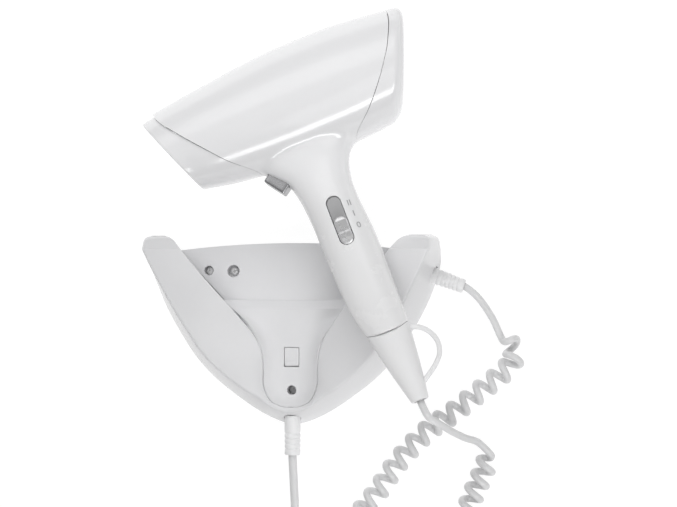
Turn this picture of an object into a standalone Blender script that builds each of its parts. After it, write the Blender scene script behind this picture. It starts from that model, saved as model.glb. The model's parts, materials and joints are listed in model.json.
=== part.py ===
"""Hair dryer with wall holder, curly cord and mains cord.

Units in the tables are millimetres; meshes are in metres.
"""

import math

import bmesh
import bpy
import numpy as np
from mathutils import Vector

MM = 0.001
GAP = 0.3  # clearance between neighbouring pieces

# --- overall sizes -------------------------------------------------------------------------
HEAD_LENGTH_K = 1.0  # scales the head along its axis
HANDLE_LENGTH_K = 1.0  # scales the grip along its length
HOLDER_WIDTH_K = 1.0  # scales the holder across
HOLDER_DEPTH_K = 0.9  # scales the holder away from the wall
WALL = 2.2  # plastic wall of the handset
HOLDER_WALL = 2.3  # plastic wall of the holder

# --- handset pose (laid on its side across the holder) ---------------------------------------
YAW = math.radians(22.0)
TAIL_UP = math.radians(9.0)
NOZZLE_UP = math.radians(2.5)
HEAD_AT = (17.3, 161.2, 40.9)

# --- head ----------------------------------------------------------------------------------
HEAD_SIDE_K = 0.96  # head width over head height
CASING_RADIUS = (
    (-110, 31.0), (-86, 34.2), (-62, 36.7), (-38, 39.2), (-7, 41.0), (23, 40.8), (52, 38.3), (90, 33.6),
)
NOZZLE_RADIUS = ((-125, 26.8), (-116, 27.9), (-108, 29.1), (-93, 30.8), (-80, 33.5), (-66, 36.0), (-40, 39.0))
FRONT_SEAM = (
    (-42, -45.0), (-39.0, -49.1), (-27.0, -66.0), (-16.2, -76.1), (0.5, -89.7), (20.7, -103.1), (34, -106.8),
)
REAR_SEAM = ((-42, 18.0), (-32.0, 35.3), (-22.0, 46.5), (-9.0, 57.4), (4.0, 65.4), (23.0, 71.9), (38, 73.0))
MOUTH = (-105.1, -0.401)  # u of the mouth plane at the axis, change of u per v
REAR_FACE = (66.9, 0.386)  # u of the rear plane at the axis, change of u per v
REAR_ROUND = 5.0
REAR_LEAN = 0.16  # change of u per w over the rear face
REAR_DOME = 3.5  # how far the rear shoulder stands beyond the rear plane
REAR_RIM = 12.0  # width of the shoulder, from the outside to the grille
GRILLE_REACH = 18.0

# --- handle: height v, front edge u, rear edge u, half thickness w -------------------------------
HANDLE = (
    (-27, -49.0, 30.0, 23.0),
    (-33, -50.0, 30.0, 21.2),
    (-39, -48.8, 23.2, 19.4),
    (-43, -45.2, 16.2, 18.6),
    (-48, -40.4, 11.9, 18.0),
    (-55, -34.8, 8.9, 17.6),
    (-61, -33.1, 7.6, 17.4),
    (-69, -31.4, 6.5, 17.3),
    (-79, -30.4, 6.7, 17.3),
    (-93, -29.6, 7.8, 17.5),
    (-107, -29.5, 8.7, 17.6),
    (-122, -28.9, 8.8, 17.5),
    (-146, -27.7, 8.2, 17.0),
    (-160, -25.9, 7.9, 16.4),
    (-168, -23.6, 7.7, 15.8),
    (-172, -22.4, 7.6, 15.4),
)
HANDLE_SQUARE = 2.3  # superellipse power of the grip
TAIL_SEAM = -172
TAIL_SAG = 5.0  # how far the tail seam dips on the flanks
TAIL_END = -224.3
TAIL_END_CENTRE = -4.3
TAIL_END_RADIUS = 5.6

# --- switch, button, screws ----------------------------------------------------------------
SLOT_U = -9.5
SLOT_TOP = -81.0
SLOT_BOTTOM = -106.4
SLOT_RADIUS = 5.25
SLIDER_LENGTH = 21.2
TRACK_W = 15.6  # outer face of the track plate
BUTTON_AT = (-45.2, -51.5)
BUTTON_OUT = (-0.82, -0.572)
BUTTON_LENGTH = 16.8
BUTTON_WIDTH = 12.0
BUTTON_DEPTH = 13.0
SCREW_AT = ((-22.0, -64.0), (-10.5, -157.0))
SCREW_HEAD = 2.7
SCREW_SHANK = 1.3

# --- inside the head ------------------------------------------------------------------------
SHIELD_RADIUS = 27.0
SHIELD_U = (-76.0, -16.0)
CROSS_HALF = 22.5
MOTOR_RADIUS = 14.0
MOTOR_U = (-9.0, 20.0)
SHAFT_RADIUS = 1.2
SHAFT_BORE = 1.26
FAN_U = (25.0, 37.0)
FAN_RADIUS = 32.0
SHROUD_RADIUS = 34.5

# --- holder: base x,y / rim x,y,z / edge x,y,z / foot shift outward ---------------------------
STATIONS = (
    ((104.0, 66.5), (101.0, 65.5, 46.0), (81.5, 65.5, 46.0), 6.0),
    ((105.4, 56.0), (101.0, 56.0, 53.0), (73.6, 56.5, 51.5), 7.0),
    ((105.2, 45.0), (96.2, 45.5, 51.0), (64.0, 44.0, 47.5), 7.5),
    ((100.4, 28.5), (88.0, 29.0, 47.6), (51.8, 29.5, 44.0), 7.5),
    ((93.4, 12.4), (80.2, 14.0, 44.2), (40.9, 16.5, 39.0), 5.5),
    ((84.0, -4.0), (71.0, -1.5, 40.8), (31.4, 4.0, 31.5), 2.5),
    ((72.3, -21.5), (60.2, -18.2, 36.6), (24.2, -7.0, 25.5), 0.8),
    ((57.6, -37.0), (47.4, -31.2, 33.0), (20.6, -17.0, 23.0), 0.0),
    ((40.4, -50.3), (33.4, -42.0, 29.5), (19.6, -29.0, 22.4), 0.0),
    ((28.0, -58.6), (23.6, -47.9, 26.0), (19.4, -40.5, 22.4), 0.0),
    ((17.0, -64.4), (15.2, -54.4, 23.4), (14.8, -50.8, 22.2), 0.0),
    ((8.0, -67.8), (7.8, -58.2, 21.6), (7.7, -54.8, 21.2), 0.0),
)
BOTTOM_STATION = ((0.0, -69.2), (0.0, -59.6, 21.0), (0.0, -56.0, 20.8), 0.0)
PLATE_Z = 9.0
FUNNEL_Z = 13.5
LEDGE_Y = (20.0, 14.0)
PLATE_TOP_Y = 61.0
PLATE_TOP_DROP = 4.6
PLATE_HALF = 79.0
SEAT_THICK = 2.0
BACK_THICK = 3.0
PARK_AT = (0.0, -20.4)
PARK_SIZE = (10.3, 13.4)
PARK_TRAVEL = 2.5
WALL_SCREWS = ((-61.4, 41.4), (-43.4, 41.0), (43.4, 41.0), (61.4, 41.4), (0.0, -44.0))
WALL_SCREW_HOLES = (3.5, 4.5, 4.5, 3.5, 3.4)

# --- cords ---------------------------------------------------------------------------------
CURLY_WIRE = 5.0
COIL_DIAMETER = 17.0
MAINS_WIRE = 6.0
GLAND_FROM = (92.5, 40.9)
GLAND_TO = (122.6, 29.9)
GLAND_Z = 9.2
GLAND_RADIUS = (6.0, 4.9)
MAINS_GLAND_Y = (-62.0, -90.4)
MAINS_GLAND_Z = 9.6
MAINS_GLAND_RADIUS = 5.75
COIL_Z = 8.9
COIL_AXIS = (
    (150.6, -6.4), (156.4, -13.0), (157.3, -20.5), (150.8, -29.5), (134.0, -43.5), (114.2, -59.4),
    (96.5, -72.3), (77.4, -92.3), (60.2, -116.8), (48.2, -132.4), (41.0, -147.0), (42.5, -164.0),
    (54.5, -178.0), (74.0, -184.0), (94.5, -179.5), (109.5, -166.0), (118.5, -147.0), (127.0, -121.2),
    (135.0, -102.5), (140.4, -88.5),
)
MAINS_COIL_AT = (-62.0, -196.0)
MAINS_COIL_RADIUS = 38.0
MAINS_COIL_TUBE = 7.0
PLUG_AT = (-132.0, -168.0)
PLUG_LENGTH = 52.0
PLUG_Z = 9.9
PIN_SPACING = 19.0


# --- small helpers ---------------------------------------------------------------------------
def smooth_at(table, x):
    """Value of a smooth curve through the table at x."""
    xs = [row[0] for row in table]
    ys = [row[1] for row in table]
    if x <= xs[0]:
        return ys[0] + (x - xs[0]) * (ys[1] - ys[0]) / (xs[1] - xs[0])
    if x >= xs[-1]:
        return ys[-1] + (x - xs[-1]) * (ys[-1] - ys[-2]) / (xs[-1] - xs[-2])
    k = max(i for i in range(len(xs) - 1) if xs[i] <= x)
    slopes = [(ys[i + 1] - ys[i]) / (xs[i + 1] - xs[i]) for i in range(len(xs) - 1)]
    tangents = [slopes[0]]
    for i in range(1, len(xs) - 1):
        same = slopes[i - 1] * slopes[i] > 0
        mean = 2 * slopes[i - 1] * slopes[i] / (slopes[i - 1] + slopes[i]) if same else 0.0
        tangents.append(mean)
    tangents.append(slopes[-1])
    h = xs[k + 1] - xs[k]
    t = (x - xs[k]) / h
    a = ys[k] * (2 * t**3 - 3 * t**2 + 1)
    b = tangents[k] * h * (t**3 - 2 * t**2 + t)
    c = ys[k + 1] * (-2 * t**3 + 3 * t**2)
    d = tangents[k + 1] * h * (t**3 - t**2)
    return a + b + c + d


def smooth_path(points, steps):
    """Catmull-Rom path through 3-D points."""
    pts = [np.array(p, float) for p in points]
    ends = [2 * pts[0] - pts[1]] + pts + [2 * pts[-1] - pts[-2]]
    out = []
    for i in range(1, len(ends) - 2):
        p0, p1, p2, p3 = ends[i - 1 : i + 3]
        for k in range(steps):
            t = k / steps
            linear = (p2 - p0) * t
            square = (2 * p0 - 5 * p1 + 4 * p2 - p3) * t**2
            cubic = (3 * p1 - p0 - 3 * p2 + p3) * t**3
            out.append(0.5 * (2 * p1 + linear + square + cubic))
    out.append(pts[-1])
    return out


def pose(points):
    """Handset coordinates (u along the head, v up the handle, w to the slider side) to the holder frame."""
    u, v, w = np.atleast_2d(np.array(points, float)).T
    v1 = v * math.cos(TAIL_UP) + w * math.sin(TAIL_UP)
    w1 = -v * math.sin(TAIL_UP) + w * math.cos(TAIL_UP)
    u2 = u * math.cos(NOZZLE_UP) + w1 * math.sin(NOZZLE_UP)
    w2 = -u * math.sin(NOZZLE_UP) + w1 * math.cos(NOZZLE_UP)
    x = u2 * math.cos(YAW) - v1 * math.sin(YAW)
    y = u2 * math.sin(YAW) + v1 * math.cos(YAW)
    return np.stack([x + HEAD_AT[0], y + HEAD_AT[1], w2 + HEAD_AT[2]], 1)


FINISHES = {
    "gloss_white": ((0.78, 0.78, 0.79), 0.18, 0.0),
    "satin_white": ((0.62, 0.62, 0.63), 0.42, 0.0),
    "holder_white": ((0.66, 0.66, 0.68), 0.30, 0.0),
    "silver_plastic": ((0.42, 0.42, 0.44), 0.35, 0.6),
    "grey_plastic": ((0.38, 0.38, 0.40), 0.5, 0.0),
    "black_plastic": ((0.03, 0.03, 0.03), 0.5, 0.0),
    "steel": ((0.56, 0.56, 0.58), 0.3, 1.0),
    "mica": ((0.55, 0.46, 0.33), 0.6, 0.0),
    "cord_white": ((0.64, 0.64, 0.64), 0.45, 0.0),
    "copper": ((0.72, 0.43, 0.25), 0.4, 1.0),
    "green_board": ((0.05, 0.25, 0.10), 0.5, 0.0),
}


def material_for(node, finish):
    """One Principled material for the node."""
    colour, roughness, metallic = FINISHES[finish]
    material = bpy.data.materials.new(node + "_material")
    material.use_nodes = True
    shader = material.node_tree.nodes["Principled BSDF"]
    shader.inputs["Base Color"].default_value = (*colour, 1.0)
    shader.inputs["Roughness"].default_value = roughness
    shader.inputs["Metallic"].default_value = metallic
    return material


def solid(name, vertices, faces, placed=False):
    """Closed mesh object from millimetre vertices; placed=True takes handset coordinates."""
    points = np.array(vertices, float)
    if placed:
        points = pose(points)
    mesh = bpy.data.meshes.new(name)
    mesh.from_pydata([tuple(p * MM) for p in points], [], faces)
    work = bmesh.new()
    work.from_mesh(mesh)
    bmesh.ops.remove_doubles(work, verts=work.verts, dist=1e-6)
    bmesh.ops.recalc_face_normals(work, faces=work.faces)
    work.to_mesh(mesh)
    work.free()
    thing = bpy.data.objects.new(name, mesh)
    PARTS.objects.link(thing)
    return thing


def finish_node(thing, finish, smooth=True):
    """Gives a node its material and shading."""
    thing.data.materials.clear()
    thing.data.materials.append(material_for(thing.name, finish))
    for face in thing.data.polygons:
        face.use_smooth = smooth
    return thing


def combine(target, cutter, operation):
    """Boolean of two objects, applied; the second one is removed."""
    work = target.modifiers.new("cut", "BOOLEAN")
    work.operation = operation
    work.solver = "EXACT"
    work.object = cutter
    bpy.context.view_layer.update()
    depsgraph = bpy.context.evaluated_depsgraph_get()
    fresh = bpy.data.meshes.new_from_object(target.evaluated_get(depsgraph))
    tidy = bmesh.new()
    tidy.from_mesh(fresh)
    bmesh.ops.remove_doubles(tidy, verts=tidy.verts, dist=2e-6)
    bmesh.ops.dissolve_degenerate(tidy, edges=tidy.edges, dist=1e-6)
    tidy.to_mesh(fresh)
    tidy.free()
    target.modifiers.clear()
    old = target.data
    target.data = fresh
    bpy.data.meshes.remove(old)
    bpy.data.objects.remove(cutter)
    return target


def loft(loops, closed_ends=True):
    """Vertices and faces of a skin over loops of equal length."""
    count = len(loops[0])
    vertices = [p for ring in loops for p in ring]
    faces = []
    for i in range(len(loops) - 1):
        for j in range(count):
            a = i * count + j
            b = i * count + (j + 1) % count
            faces.append((a, b, b + count, a + count))
    if closed_ends:
        faces.append(tuple(range(count - 1, -1, -1)))
        last = (len(loops) - 1) * count
        faces.append(tuple(range(last, last + count)))
    return vertices, faces


def ring_loft(loops):
    """Skin over loops where the last loop joins the first again (a ring-shaped solid)."""
    count = len(loops[0])
    total = len(loops)
    vertices = [p for ring in loops for p in ring]
    faces = []
    for i in range(total):
        for j in range(count):
            a = i * count + j
            b = i * count + (j + 1) % count
            c = ((i + 1) % total) * count
            faces.append((a, b, c + (j + 1) % count, c + j))
    return vertices, faces


def block(low, high):
    """Box between two corners."""
    (x0, y0, z0), (x1, y1, z1) = low, high
    lower = [(x0, y0, z0), (x1, y0, z0), (x1, y1, z0), (x0, y1, z0)]
    upper = [(x, y, z1) for x, y, _ in lower]
    return loft([lower, upper])


def turned(profile, start, direction, sides, closed=False):
    """Round solid about an axis from (distance along, radius) rows; closed joins the last row to the first."""
    axis = np.array(direction, float)
    axis = axis / np.linalg.norm(axis)
    helper = np.array((0.0, 0.0, 1.0)) if abs(axis[2]) < 0.9 else np.array((1.0, 0.0, 0.0))
    side = np.cross(axis, helper)
    side = side / np.linalg.norm(side)
    up = np.cross(axis, side)
    loops = []
    for along, radius in profile:
        centre = np.array(start, float) + axis * along
        turns = [2 * math.pi * k / sides for k in range(sides)]
        loops.append([tuple(centre + radius * (side * math.cos(t) + up * math.sin(t))) for t in turns])
    if closed:
        return ring_loft(loops)
    return loft(loops)


def tube(points, radius, sides):
    """Round tube along a path."""
    path = [np.array(p, float) for p in points]
    loops = []
    normal = None
    for i, point in enumerate(path):
        before = path[max(0, i - 1)]
        after = path[min(len(path) - 1, i + 1)]
        tangent = (after - before) / np.linalg.norm(after - before)
        if normal is None:
            helper = np.array((0.0, 0.0, 1.0)) if abs(tangent[2]) < 0.9 else np.array((1.0, 0.0, 0.0))
            normal = np.cross(tangent, helper)
        normal = normal - tangent * np.dot(normal, tangent)
        normal = normal / np.linalg.norm(normal)
        other = np.cross(tangent, normal)
        turns = [2 * math.pi * k / sides for k in range(sides)]
        offsets = [normal * math.cos(t) + other * math.sin(t) for t in turns]
        loops.append([tuple(point + radius * offset) for offset in offsets])
    return loft(loops)


def node(name, shape, finish, placed=False, smooth=True):
    """A finished node straight from a shape."""
    return finish_node(solid(name, shape[0], shape[1], placed), finish, smooth)


# --- head shapes -------------------------------------------------------------------------------
def head_u(u):
    """Head station after the length scale."""
    return u * HEAD_LENGTH_K


def on_head(limit, radius_table, angle, shrink=0.0, lean=0.0):
    """Point of the head surface at an angle where the face u = limit(v) + lean * w meets it."""
    u = limit(0.0)
    for _ in range(40):
        radius = smooth_at(radius_table, u) - shrink
        tilt = lean * radius * HEAD_SIDE_K * math.cos(angle)
        u = 0.5 * u + 0.5 * (limit(radius * math.sin(angle)) + tilt)
    return head_point(u, radius_table, angle, shrink)


def head_point(u, radius_table, angle, shrink=0.0):
    """Point of the head surface at station u and angle."""
    radius = smooth_at(radius_table, u) - shrink
    side = smooth_at(radius_table, u) * HEAD_SIDE_K - shrink
    return (head_u(u), radius * math.sin(angle), side * math.cos(angle))


def head_ring(limit, table, sides, shrink=0.0, lean=0.0):
    """Ring of the head along a seam curve."""
    return [on_head(limit, table, 2 * math.pi * k / sides, shrink, lean) for k in range(sides)]


def between(ring_a, ring_b, table, share, sides, shrink=0.0):
    """Ring part way between two seam rings, on the head surface."""
    ring = []
    for k in range(sides):
        u = (ring_a[k][0] * (1 - share) + ring_b[k][0] * share) / HEAD_LENGTH_K
        ring.append(head_point(u, table, 2 * math.pi * k / sides, shrink))
    return ring


def front_seam(v):
    """u of the seam between nozzle and casing at v."""
    return smooth_at(FRONT_SEAM, v)


def rear_seam(v):
    """u of the seam between casing and rear cover at v."""
    return smooth_at(REAR_SEAM, v)


def mouth_plane(v):
    """u of the nozzle mouth at v."""
    return MOUTH[0] + MOUTH[1] * v


def rear_plane(v):
    """u of the rear face at v."""
    return REAR_FACE[0] + REAR_FACE[1] * v


def head_tube(start, end, table, wall, sides, rows):
    """Ring-shaped head piece between two seam curves."""
    outer_a = head_ring(start, table, sides)
    outer_b = head_ring(end, table, sides)
    inner_a = head_ring(start, table, sides, wall)
    inner_b = head_ring(end, table, sides, wall)
    outer = [between(outer_a, outer_b, table, i / rows, sides) for i in range(rows + 1)]
    inner = [between(inner_b, inner_a, table, i / rows, sides, wall) for i in range(rows + 1)]
    return ring_loft(outer + inner)


# --- handle shapes -----------------------------------------------------------------------------
def handle_v(v):
    """Handle height after the length scale, which starts below the flare."""
    start = -60.0
    return v if v >= start else start + (v - start) * HANDLE_LENGTH_K


def handle_size(v):
    """Front edge, rear edge and half thickness of the grip at a height."""
    rows = sorted(HANDLE)
    return tuple(smooth_at([(row[0], row[k]) for row in rows], v) for k in (1, 2, 3))


def handle_ring(v, shrink, sides, sag=0.0):
    """One superellipse section of the grip."""
    front, rear, half = handle_size(v)
    centre = (front + rear) / 2
    reach = (rear - front) / 2 - shrink
    depth = half - shrink
    ring = []
    for k in range(sides):
        t = 2 * math.pi * k / sides
        c = math.cos(t)
        s = math.sin(t)
        u = centre + reach * math.copysign(abs(c) ** (2 / HANDLE_SQUARE), c)
        w = depth * math.copysign(abs(s) ** (2 / HANDLE_SQUARE), s)
        ring.append((u, handle_v(v) - sag * (w / half) ** 2, w))
    return ring


def tail_ring(share, shrink, sides, start_v):
    """Section of the tail cone; share 0 at the seam and 1 at the cord end."""
    front, rear, half = handle_size(TAIL_SEAM)
    seam = handle_ring(TAIL_SEAM, shrink, sides, TAIL_SAG)
    ring = []
    for k in range(sides):
        t = 2 * math.pi * k / sides
        tip_radius = TAIL_END_RADIUS - min(shrink, TAIL_END_RADIUS - CURLY_WIRE / 2 - GAP)
        tip = (TAIL_END_CENTRE + tip_radius * math.cos(t), handle_v(TAIL_END), tip_radius * math.sin(t))
        root = (seam[k][0], seam[k][1] - start_v, seam[k][2])
        ring.append(tuple(root[i] * (1 - share) + tip[i] * share for i in range(3)))
    return ring


def stadium(half, radius, steps=8):
    """Rounded slot outline, long in v."""
    points = []
    for k in range(steps + 1):
        t = math.pi * k / steps
        points.append((radius * math.cos(t), half + radius * math.sin(t)))
    for k in range(steps + 1):
        t = math.pi + math.pi * k / steps
        points.append((radius * math.cos(t), -half + radius * math.sin(t)))
    return points


def slot_prism(radius, grow, low, high, top=None, bottom=None):
    """Stadium prism at the switch slot, between two w levels."""
    top = handle_v(SLOT_TOP) if top is None else top
    bottom = handle_v(SLOT_BOTTOM) if bottom is None else bottom
    middle = (top + bottom) / 2
    half = (top - bottom) / 2
    outline = stadium(half, radius + grow)
    return loft([[(SLOT_U + x, middle + y, w) for x, y in outline] for w in (low, high)])


def button_block(length, width, inner, outer):
    """Box on the button axis, in handset coordinates."""
    out = np.array(BUTTON_OUT) / np.linalg.norm(BUTTON_OUT)
    along = np.array((-out[1], out[0]))
    middle = np.array(BUTTON_AT)
    corners = []
    for n, s in ((inner, -1), (outer, -1), (outer, 1), (inner, 1)):
        corners.append(middle + out * n + along * s * length / 2)
    return loft([[(c[0], c[1], w) for c in corners] for w in (-width / 2, width / 2)])


def casing_blank():
    """Whole handset casing before it is split in two."""
    sides = 40
    shell = head_tube(
        lambda v: front_seam(v) + GAP, lambda v: rear_seam(v) - GAP, CASING_RADIUS, WALL, sides, 6
    )
    casing = solid("casing_blank", shell[0], shell[1])
    heights = sorted(set([row[0] for row in HANDLE if row[0] not in (-69, -107, -160)]), reverse=True)
    skin = [handle_ring(v, 0.0, 24, TAIL_SAG if v == TAIL_SEAM else 0.0) for v in heights]
    lining = [handle_ring(v, WALL, 24, TAIL_SAG if v == TAIL_SEAM else 0.0) for v in heights[::-1]]
    grip = ring_loft(skin + lining)
    combine(casing, solid("grip_shell", grip[0], grip[1]), "UNION")
    for u, v in SCREW_AT:
        boss = turned([(0, 3.6), (34, 3.6)], (u, handle_v(v), -17), (0, 0, 1), 14)
        boss_solid = solid("boss", boss[0], boss[1])
        hold = [handle_ring(h, 0.6, 24) for h in (v + 8, v, v - 8)]
        keep = loft(hold)
        combine(boss_solid, solid("boss_keep", keep[0], keep[1]), "INTERSECT")
        BOSSES.append(boss_solid)
    bore_at = (-125, -86, -62, -38, -7, 23, 52, 95)
    bore_rows = [head_ring(lambda v, u=u: u, CASING_RADIUS, sides, WALL + 0.06) for u in bore_at]
    bore = loft(bore_rows)
    combine(casing, solid("head_bore", bore[0], bore[1]), "DIFFERENCE")
    hollow = loft([handle_ring(v, WALL + 0.05, 24) for v in (-20, -33, -39, -43, -48, -55, -61)])
    combine(casing, solid("grip_bore", hollow[0], hollow[1]), "DIFFERENCE")
    for boss_solid in BOSSES:
        combine(casing, boss_solid, "UNION")
    opening = button_block(BUTTON_LENGTH + 2 * GAP + 0.2, BUTTON_WIDTH + 2 * GAP + 0.2, -14.0, 12.0)
    combine(casing, solid("button_opening", opening[0], opening[1]), "DIFFERENCE")
    return casing


def copy_of(thing, name):
    """Separate copy of an object."""
    twin = bpy.data.objects.new(name, thing.data.copy())
    PARTS.objects.link(twin)
    return twin


def move_into_place(thing):
    """Moves a handset solid from handset coordinates into the holder frame."""
    mesh = thing.data
    points = np.array([v.co[:] for v in mesh.vertices]) / MM
    placed = pose(points) * MM
    for vertex, point in zip(mesh.vertices, placed):
        vertex.co = Vector(point)
    mesh.update()
    return thing


def casing_halves():
    """Left and right casing with the slot, the screw bores and the split gap."""
    blank = casing_blank()
    left = copy_of(blank, "casing_left")
    right = copy_of(blank, "casing_right")
    bpy.data.objects.remove(blank)
    high = block((-160, -300, GAP / 2), (160, 120, 80))
    low = block((-160, -300, -80), (160, 120, -GAP / 2))
    combine(left, solid("left_half", high[0], high[1]), "INTERSECT")
    combine(right, solid("right_half", low[0], low[1]), "INTERSECT")
    slot = slot_prism(SLOT_RADIUS, 0.0, 6.0, 30.0)
    combine(left, solid("slot_cut", slot[0], slot[1]), "DIFFERENCE")
    for u, v in SCREW_AT:
        head = SCREW_HEAD + GAP
        shank = SCREW_SHANK + GAP
        seat = 30 - handle_size(v)[2] + 3.4
        profile = [(0, head), (seat, head), (seat, shank), (40, shank)]
        for half in (left, right):
            bore = turned(profile, (u, handle_v(v), -30.0), (0, 0, 1), 14)
            combine(half, solid("screw_bore", bore[0], bore[1]), "DIFFERENCE")
    finish_node(move_into_place(left), "gloss_white")
    finish_node(move_into_place(right), "gloss_white")


def head_pieces():
    """Nozzle, rear cover and rear grille."""
    sides = 40
    shape = head_tube(mouth_plane, lambda v: front_seam(v) - GAP / 2, NOZZLE_RADIUS, 2.0, sides, 4)
    node("nozzle", shape, "gloss_white", True)
    outer_a = head_ring(lambda v: rear_seam(v) + GAP / 2, CASING_RADIUS, sides)
    inner_a = head_ring(lambda v: rear_seam(v) + GAP / 2, CASING_RADIUS, sides, WALL)
    shoulder = [(-REAR_ROUND, 0.0), (-2.0, 0.9), (0.4, 2.4), (2.2, 5.2), (3.2, 8.6), (REAR_DOME, REAR_RIM)]
    lining = [(REAR_DOME - 4.0, REAR_RIM), (0.6, 8.8), (-1.6, 5.2), (-REAR_ROUND - 0.6, WALL)]
    rings = [
        head_ring(lambda v, rise=rise: rear_plane(v) + rise, CASING_RADIUS, sides, shrink, REAR_LEAN)
        for rise, shrink in shoulder + lining
    ]
    mid = between(outer_a, rings[0], CASING_RADIUS, 0.5, sides)
    node("rear_cover", ring_loft([outer_a, mid, *rings, inner_a]), "gloss_white", True)
    inset = REAR_RIM + GAP
    low, high = [
        head_ring(lambda v, rise=rise: rear_plane(v) + rise, CASING_RADIUS, sides, inset, REAR_LEAN)
        for rise in (REAR_DOME - 3.8, REAR_DOME - 1.4)
    ]
    disc = loft([low, high])
    grille = solid("rear_grille", disc[0], disc[1])
    for k in range(-3, 4):
        v = k * 5.0
        reach = math.sqrt(GRILLE_REACH**2 - v * v)
        u = rear_plane(v) + REAR_DOME
        cut = block((u - 10, v - 1.5, -reach), (u + 10, v + 1.5, reach))
        combine(grille, solid("grille_slot", cut[0], cut[1]), "DIFFERENCE")
    finish_node(move_into_place(grille), "grey_plastic", False)


def tail_pieces():
    """Tail cone, cord sleeve and hanging loop."""
    sides = 28
    outer = [tail_ring(s, 0.0, sides, GAP) for s in (0.0, 0.5, 1.0)]
    inner = [tail_ring(s, WALL, sides, GAP) for s in (1.0, 0.5, 0.0)]
    node("tail_cone", ring_loft(outer + inner), "satin_white", True)
    path = smooth_path(
        [
            (8.4, handle_v(-176.4), 0.0), (14.0, handle_v(-179.4), 0.0), (18.8, handle_v(-185.0), 0.0),
            (20.9, handle_v(-192.0), 0.0), (19.6, handle_v(-199.3), 0.0), (15.2, handle_v(-204.9), 0.0),
            (9.0, handle_v(-209.6), 0.0), (4.2, handle_v(-212.6), 0.0),
        ],
        3,
    )
    loop = tube(path, 1.75, 8)
    thing = solid("hanging_loop", loop[0], loop[1])
    cone = loft([tail_ring(s, -GAP, sides, GAP) for s in (0.0, 0.5, 1.0)])
    combine(thing, solid("loop_trim", cone[0], cone[1]), "DIFFERENCE")
    finish_node(move_into_place(thing), "satin_white")
    clamp = block((-12.0, handle_v(-168.0), -5.0), (2.0, handle_v(-163.0), 5.0))
    node("cord_clamp", clamp, "grey_plastic", True, False)


def switch_pieces():
    """Slide switch, cool-shot button and their contacts."""
    top = handle_v(SLOT_TOP)
    bottom = handle_v(SLOT_BOTTOM)
    flange = slot_prism(SLOT_RADIUS, 2.2, 11.2, 12.7)
    track = solid("switch_track", flange[0], flange[1])
    boss = slot_prism(SLOT_RADIUS, -GAP, 12.0, TRACK_W)
    combine(track, solid("track_boss", boss[0], boss[1]), "UNION")
    slit = block((SLOT_U - 1.7, bottom - 1.0, 8), (SLOT_U + 1.7, top + 1.0, 20))
    combine(track, solid("track_slit", slit[0], slit[1]), "DIFFERENCE")
    finish_node(move_into_place(track), "grey_plastic", False)
    low_end = bottom + GAP - 0.4
    high_end = low_end + SLIDER_LENGTH - 2 * SLOT_RADIUS + 0.8
    knob = slot_prism(SLOT_RADIUS, -0.4, TRACK_W + GAP, TRACK_W + 3.4, high_end, low_end)
    slider = solid("switch_slider", knob[0], knob[1])
    stem = block((SLOT_U - 1.2, low_end + 3.0, 9.8), (SLOT_U + 1.2, low_end + 8.0, TRACK_W + 1.5))
    combine(slider, solid("slider_stem", stem[0], stem[1]), "UNION")
    groove = block((SLOT_U - 9, low_end + 4.2, TRACK_W + 2.6), (SLOT_U + 9, low_end + 6.6, TRACK_W + 6))
    combine(slider, solid("slider_groove", groove[0], groove[1]), "DIFFERENCE")
    finish_node(move_into_place(slider), "silver_plastic", False)
    body = block((SLOT_U - 6.0, bottom - 5.0, 0.6), (SLOT_U + 6.0, top + 5.0, 9.4))
    node("switch_body", body, "black_plastic", True, False)
    button = button_block(BUTTON_LENGTH, BUTTON_WIDTH, -BUTTON_DEPTH + 1.0, 0.0)
    node("cool_button", button, "silver_plastic", True, False)
    contact = button_block(11.0, 9.0, -BUTTON_DEPTH - 9.0, -BUTTON_DEPTH - 2.2)
    node("cool_switch", contact, "black_plastic", True, False)


def casing_screws():
    """Two screws that hold the handset halves together, driven from the hidden side."""
    for name, (u, v) in zip(("casing_screw_upper", "casing_screw_lower"), SCREW_AT):
        depth = handle_size(v)[2]
        start = (u, handle_v(v), -depth + 1.0)
        profile = [(0, SCREW_HEAD), (2.1, SCREW_HEAD), (2.1, SCREW_SHANK), (depth + 7.0, SCREW_SHANK)]
        node(name, turned(profile, start, (0, 0, 1), 14), "steel", True, False)


# --- inside the head --------------------------------------------------------------------------
def spider(outline, inner, start, end, sides):
    """Flat polar shape along the head axis: outline gives the outer radius at an angle, inner the hole."""
    loops = []
    for u, radius in ((start, None), (end, None), (end, inner), (start, inner)):
        ring = []
        for k in range(sides):
            t = 2 * math.pi * k / sides
            r = outline(k) if radius is None else radius
            ring.append((head_u(u), r * math.sin(t), r * math.cos(t)))
        loops.append(ring)
    return ring_loft(loops)


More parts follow.
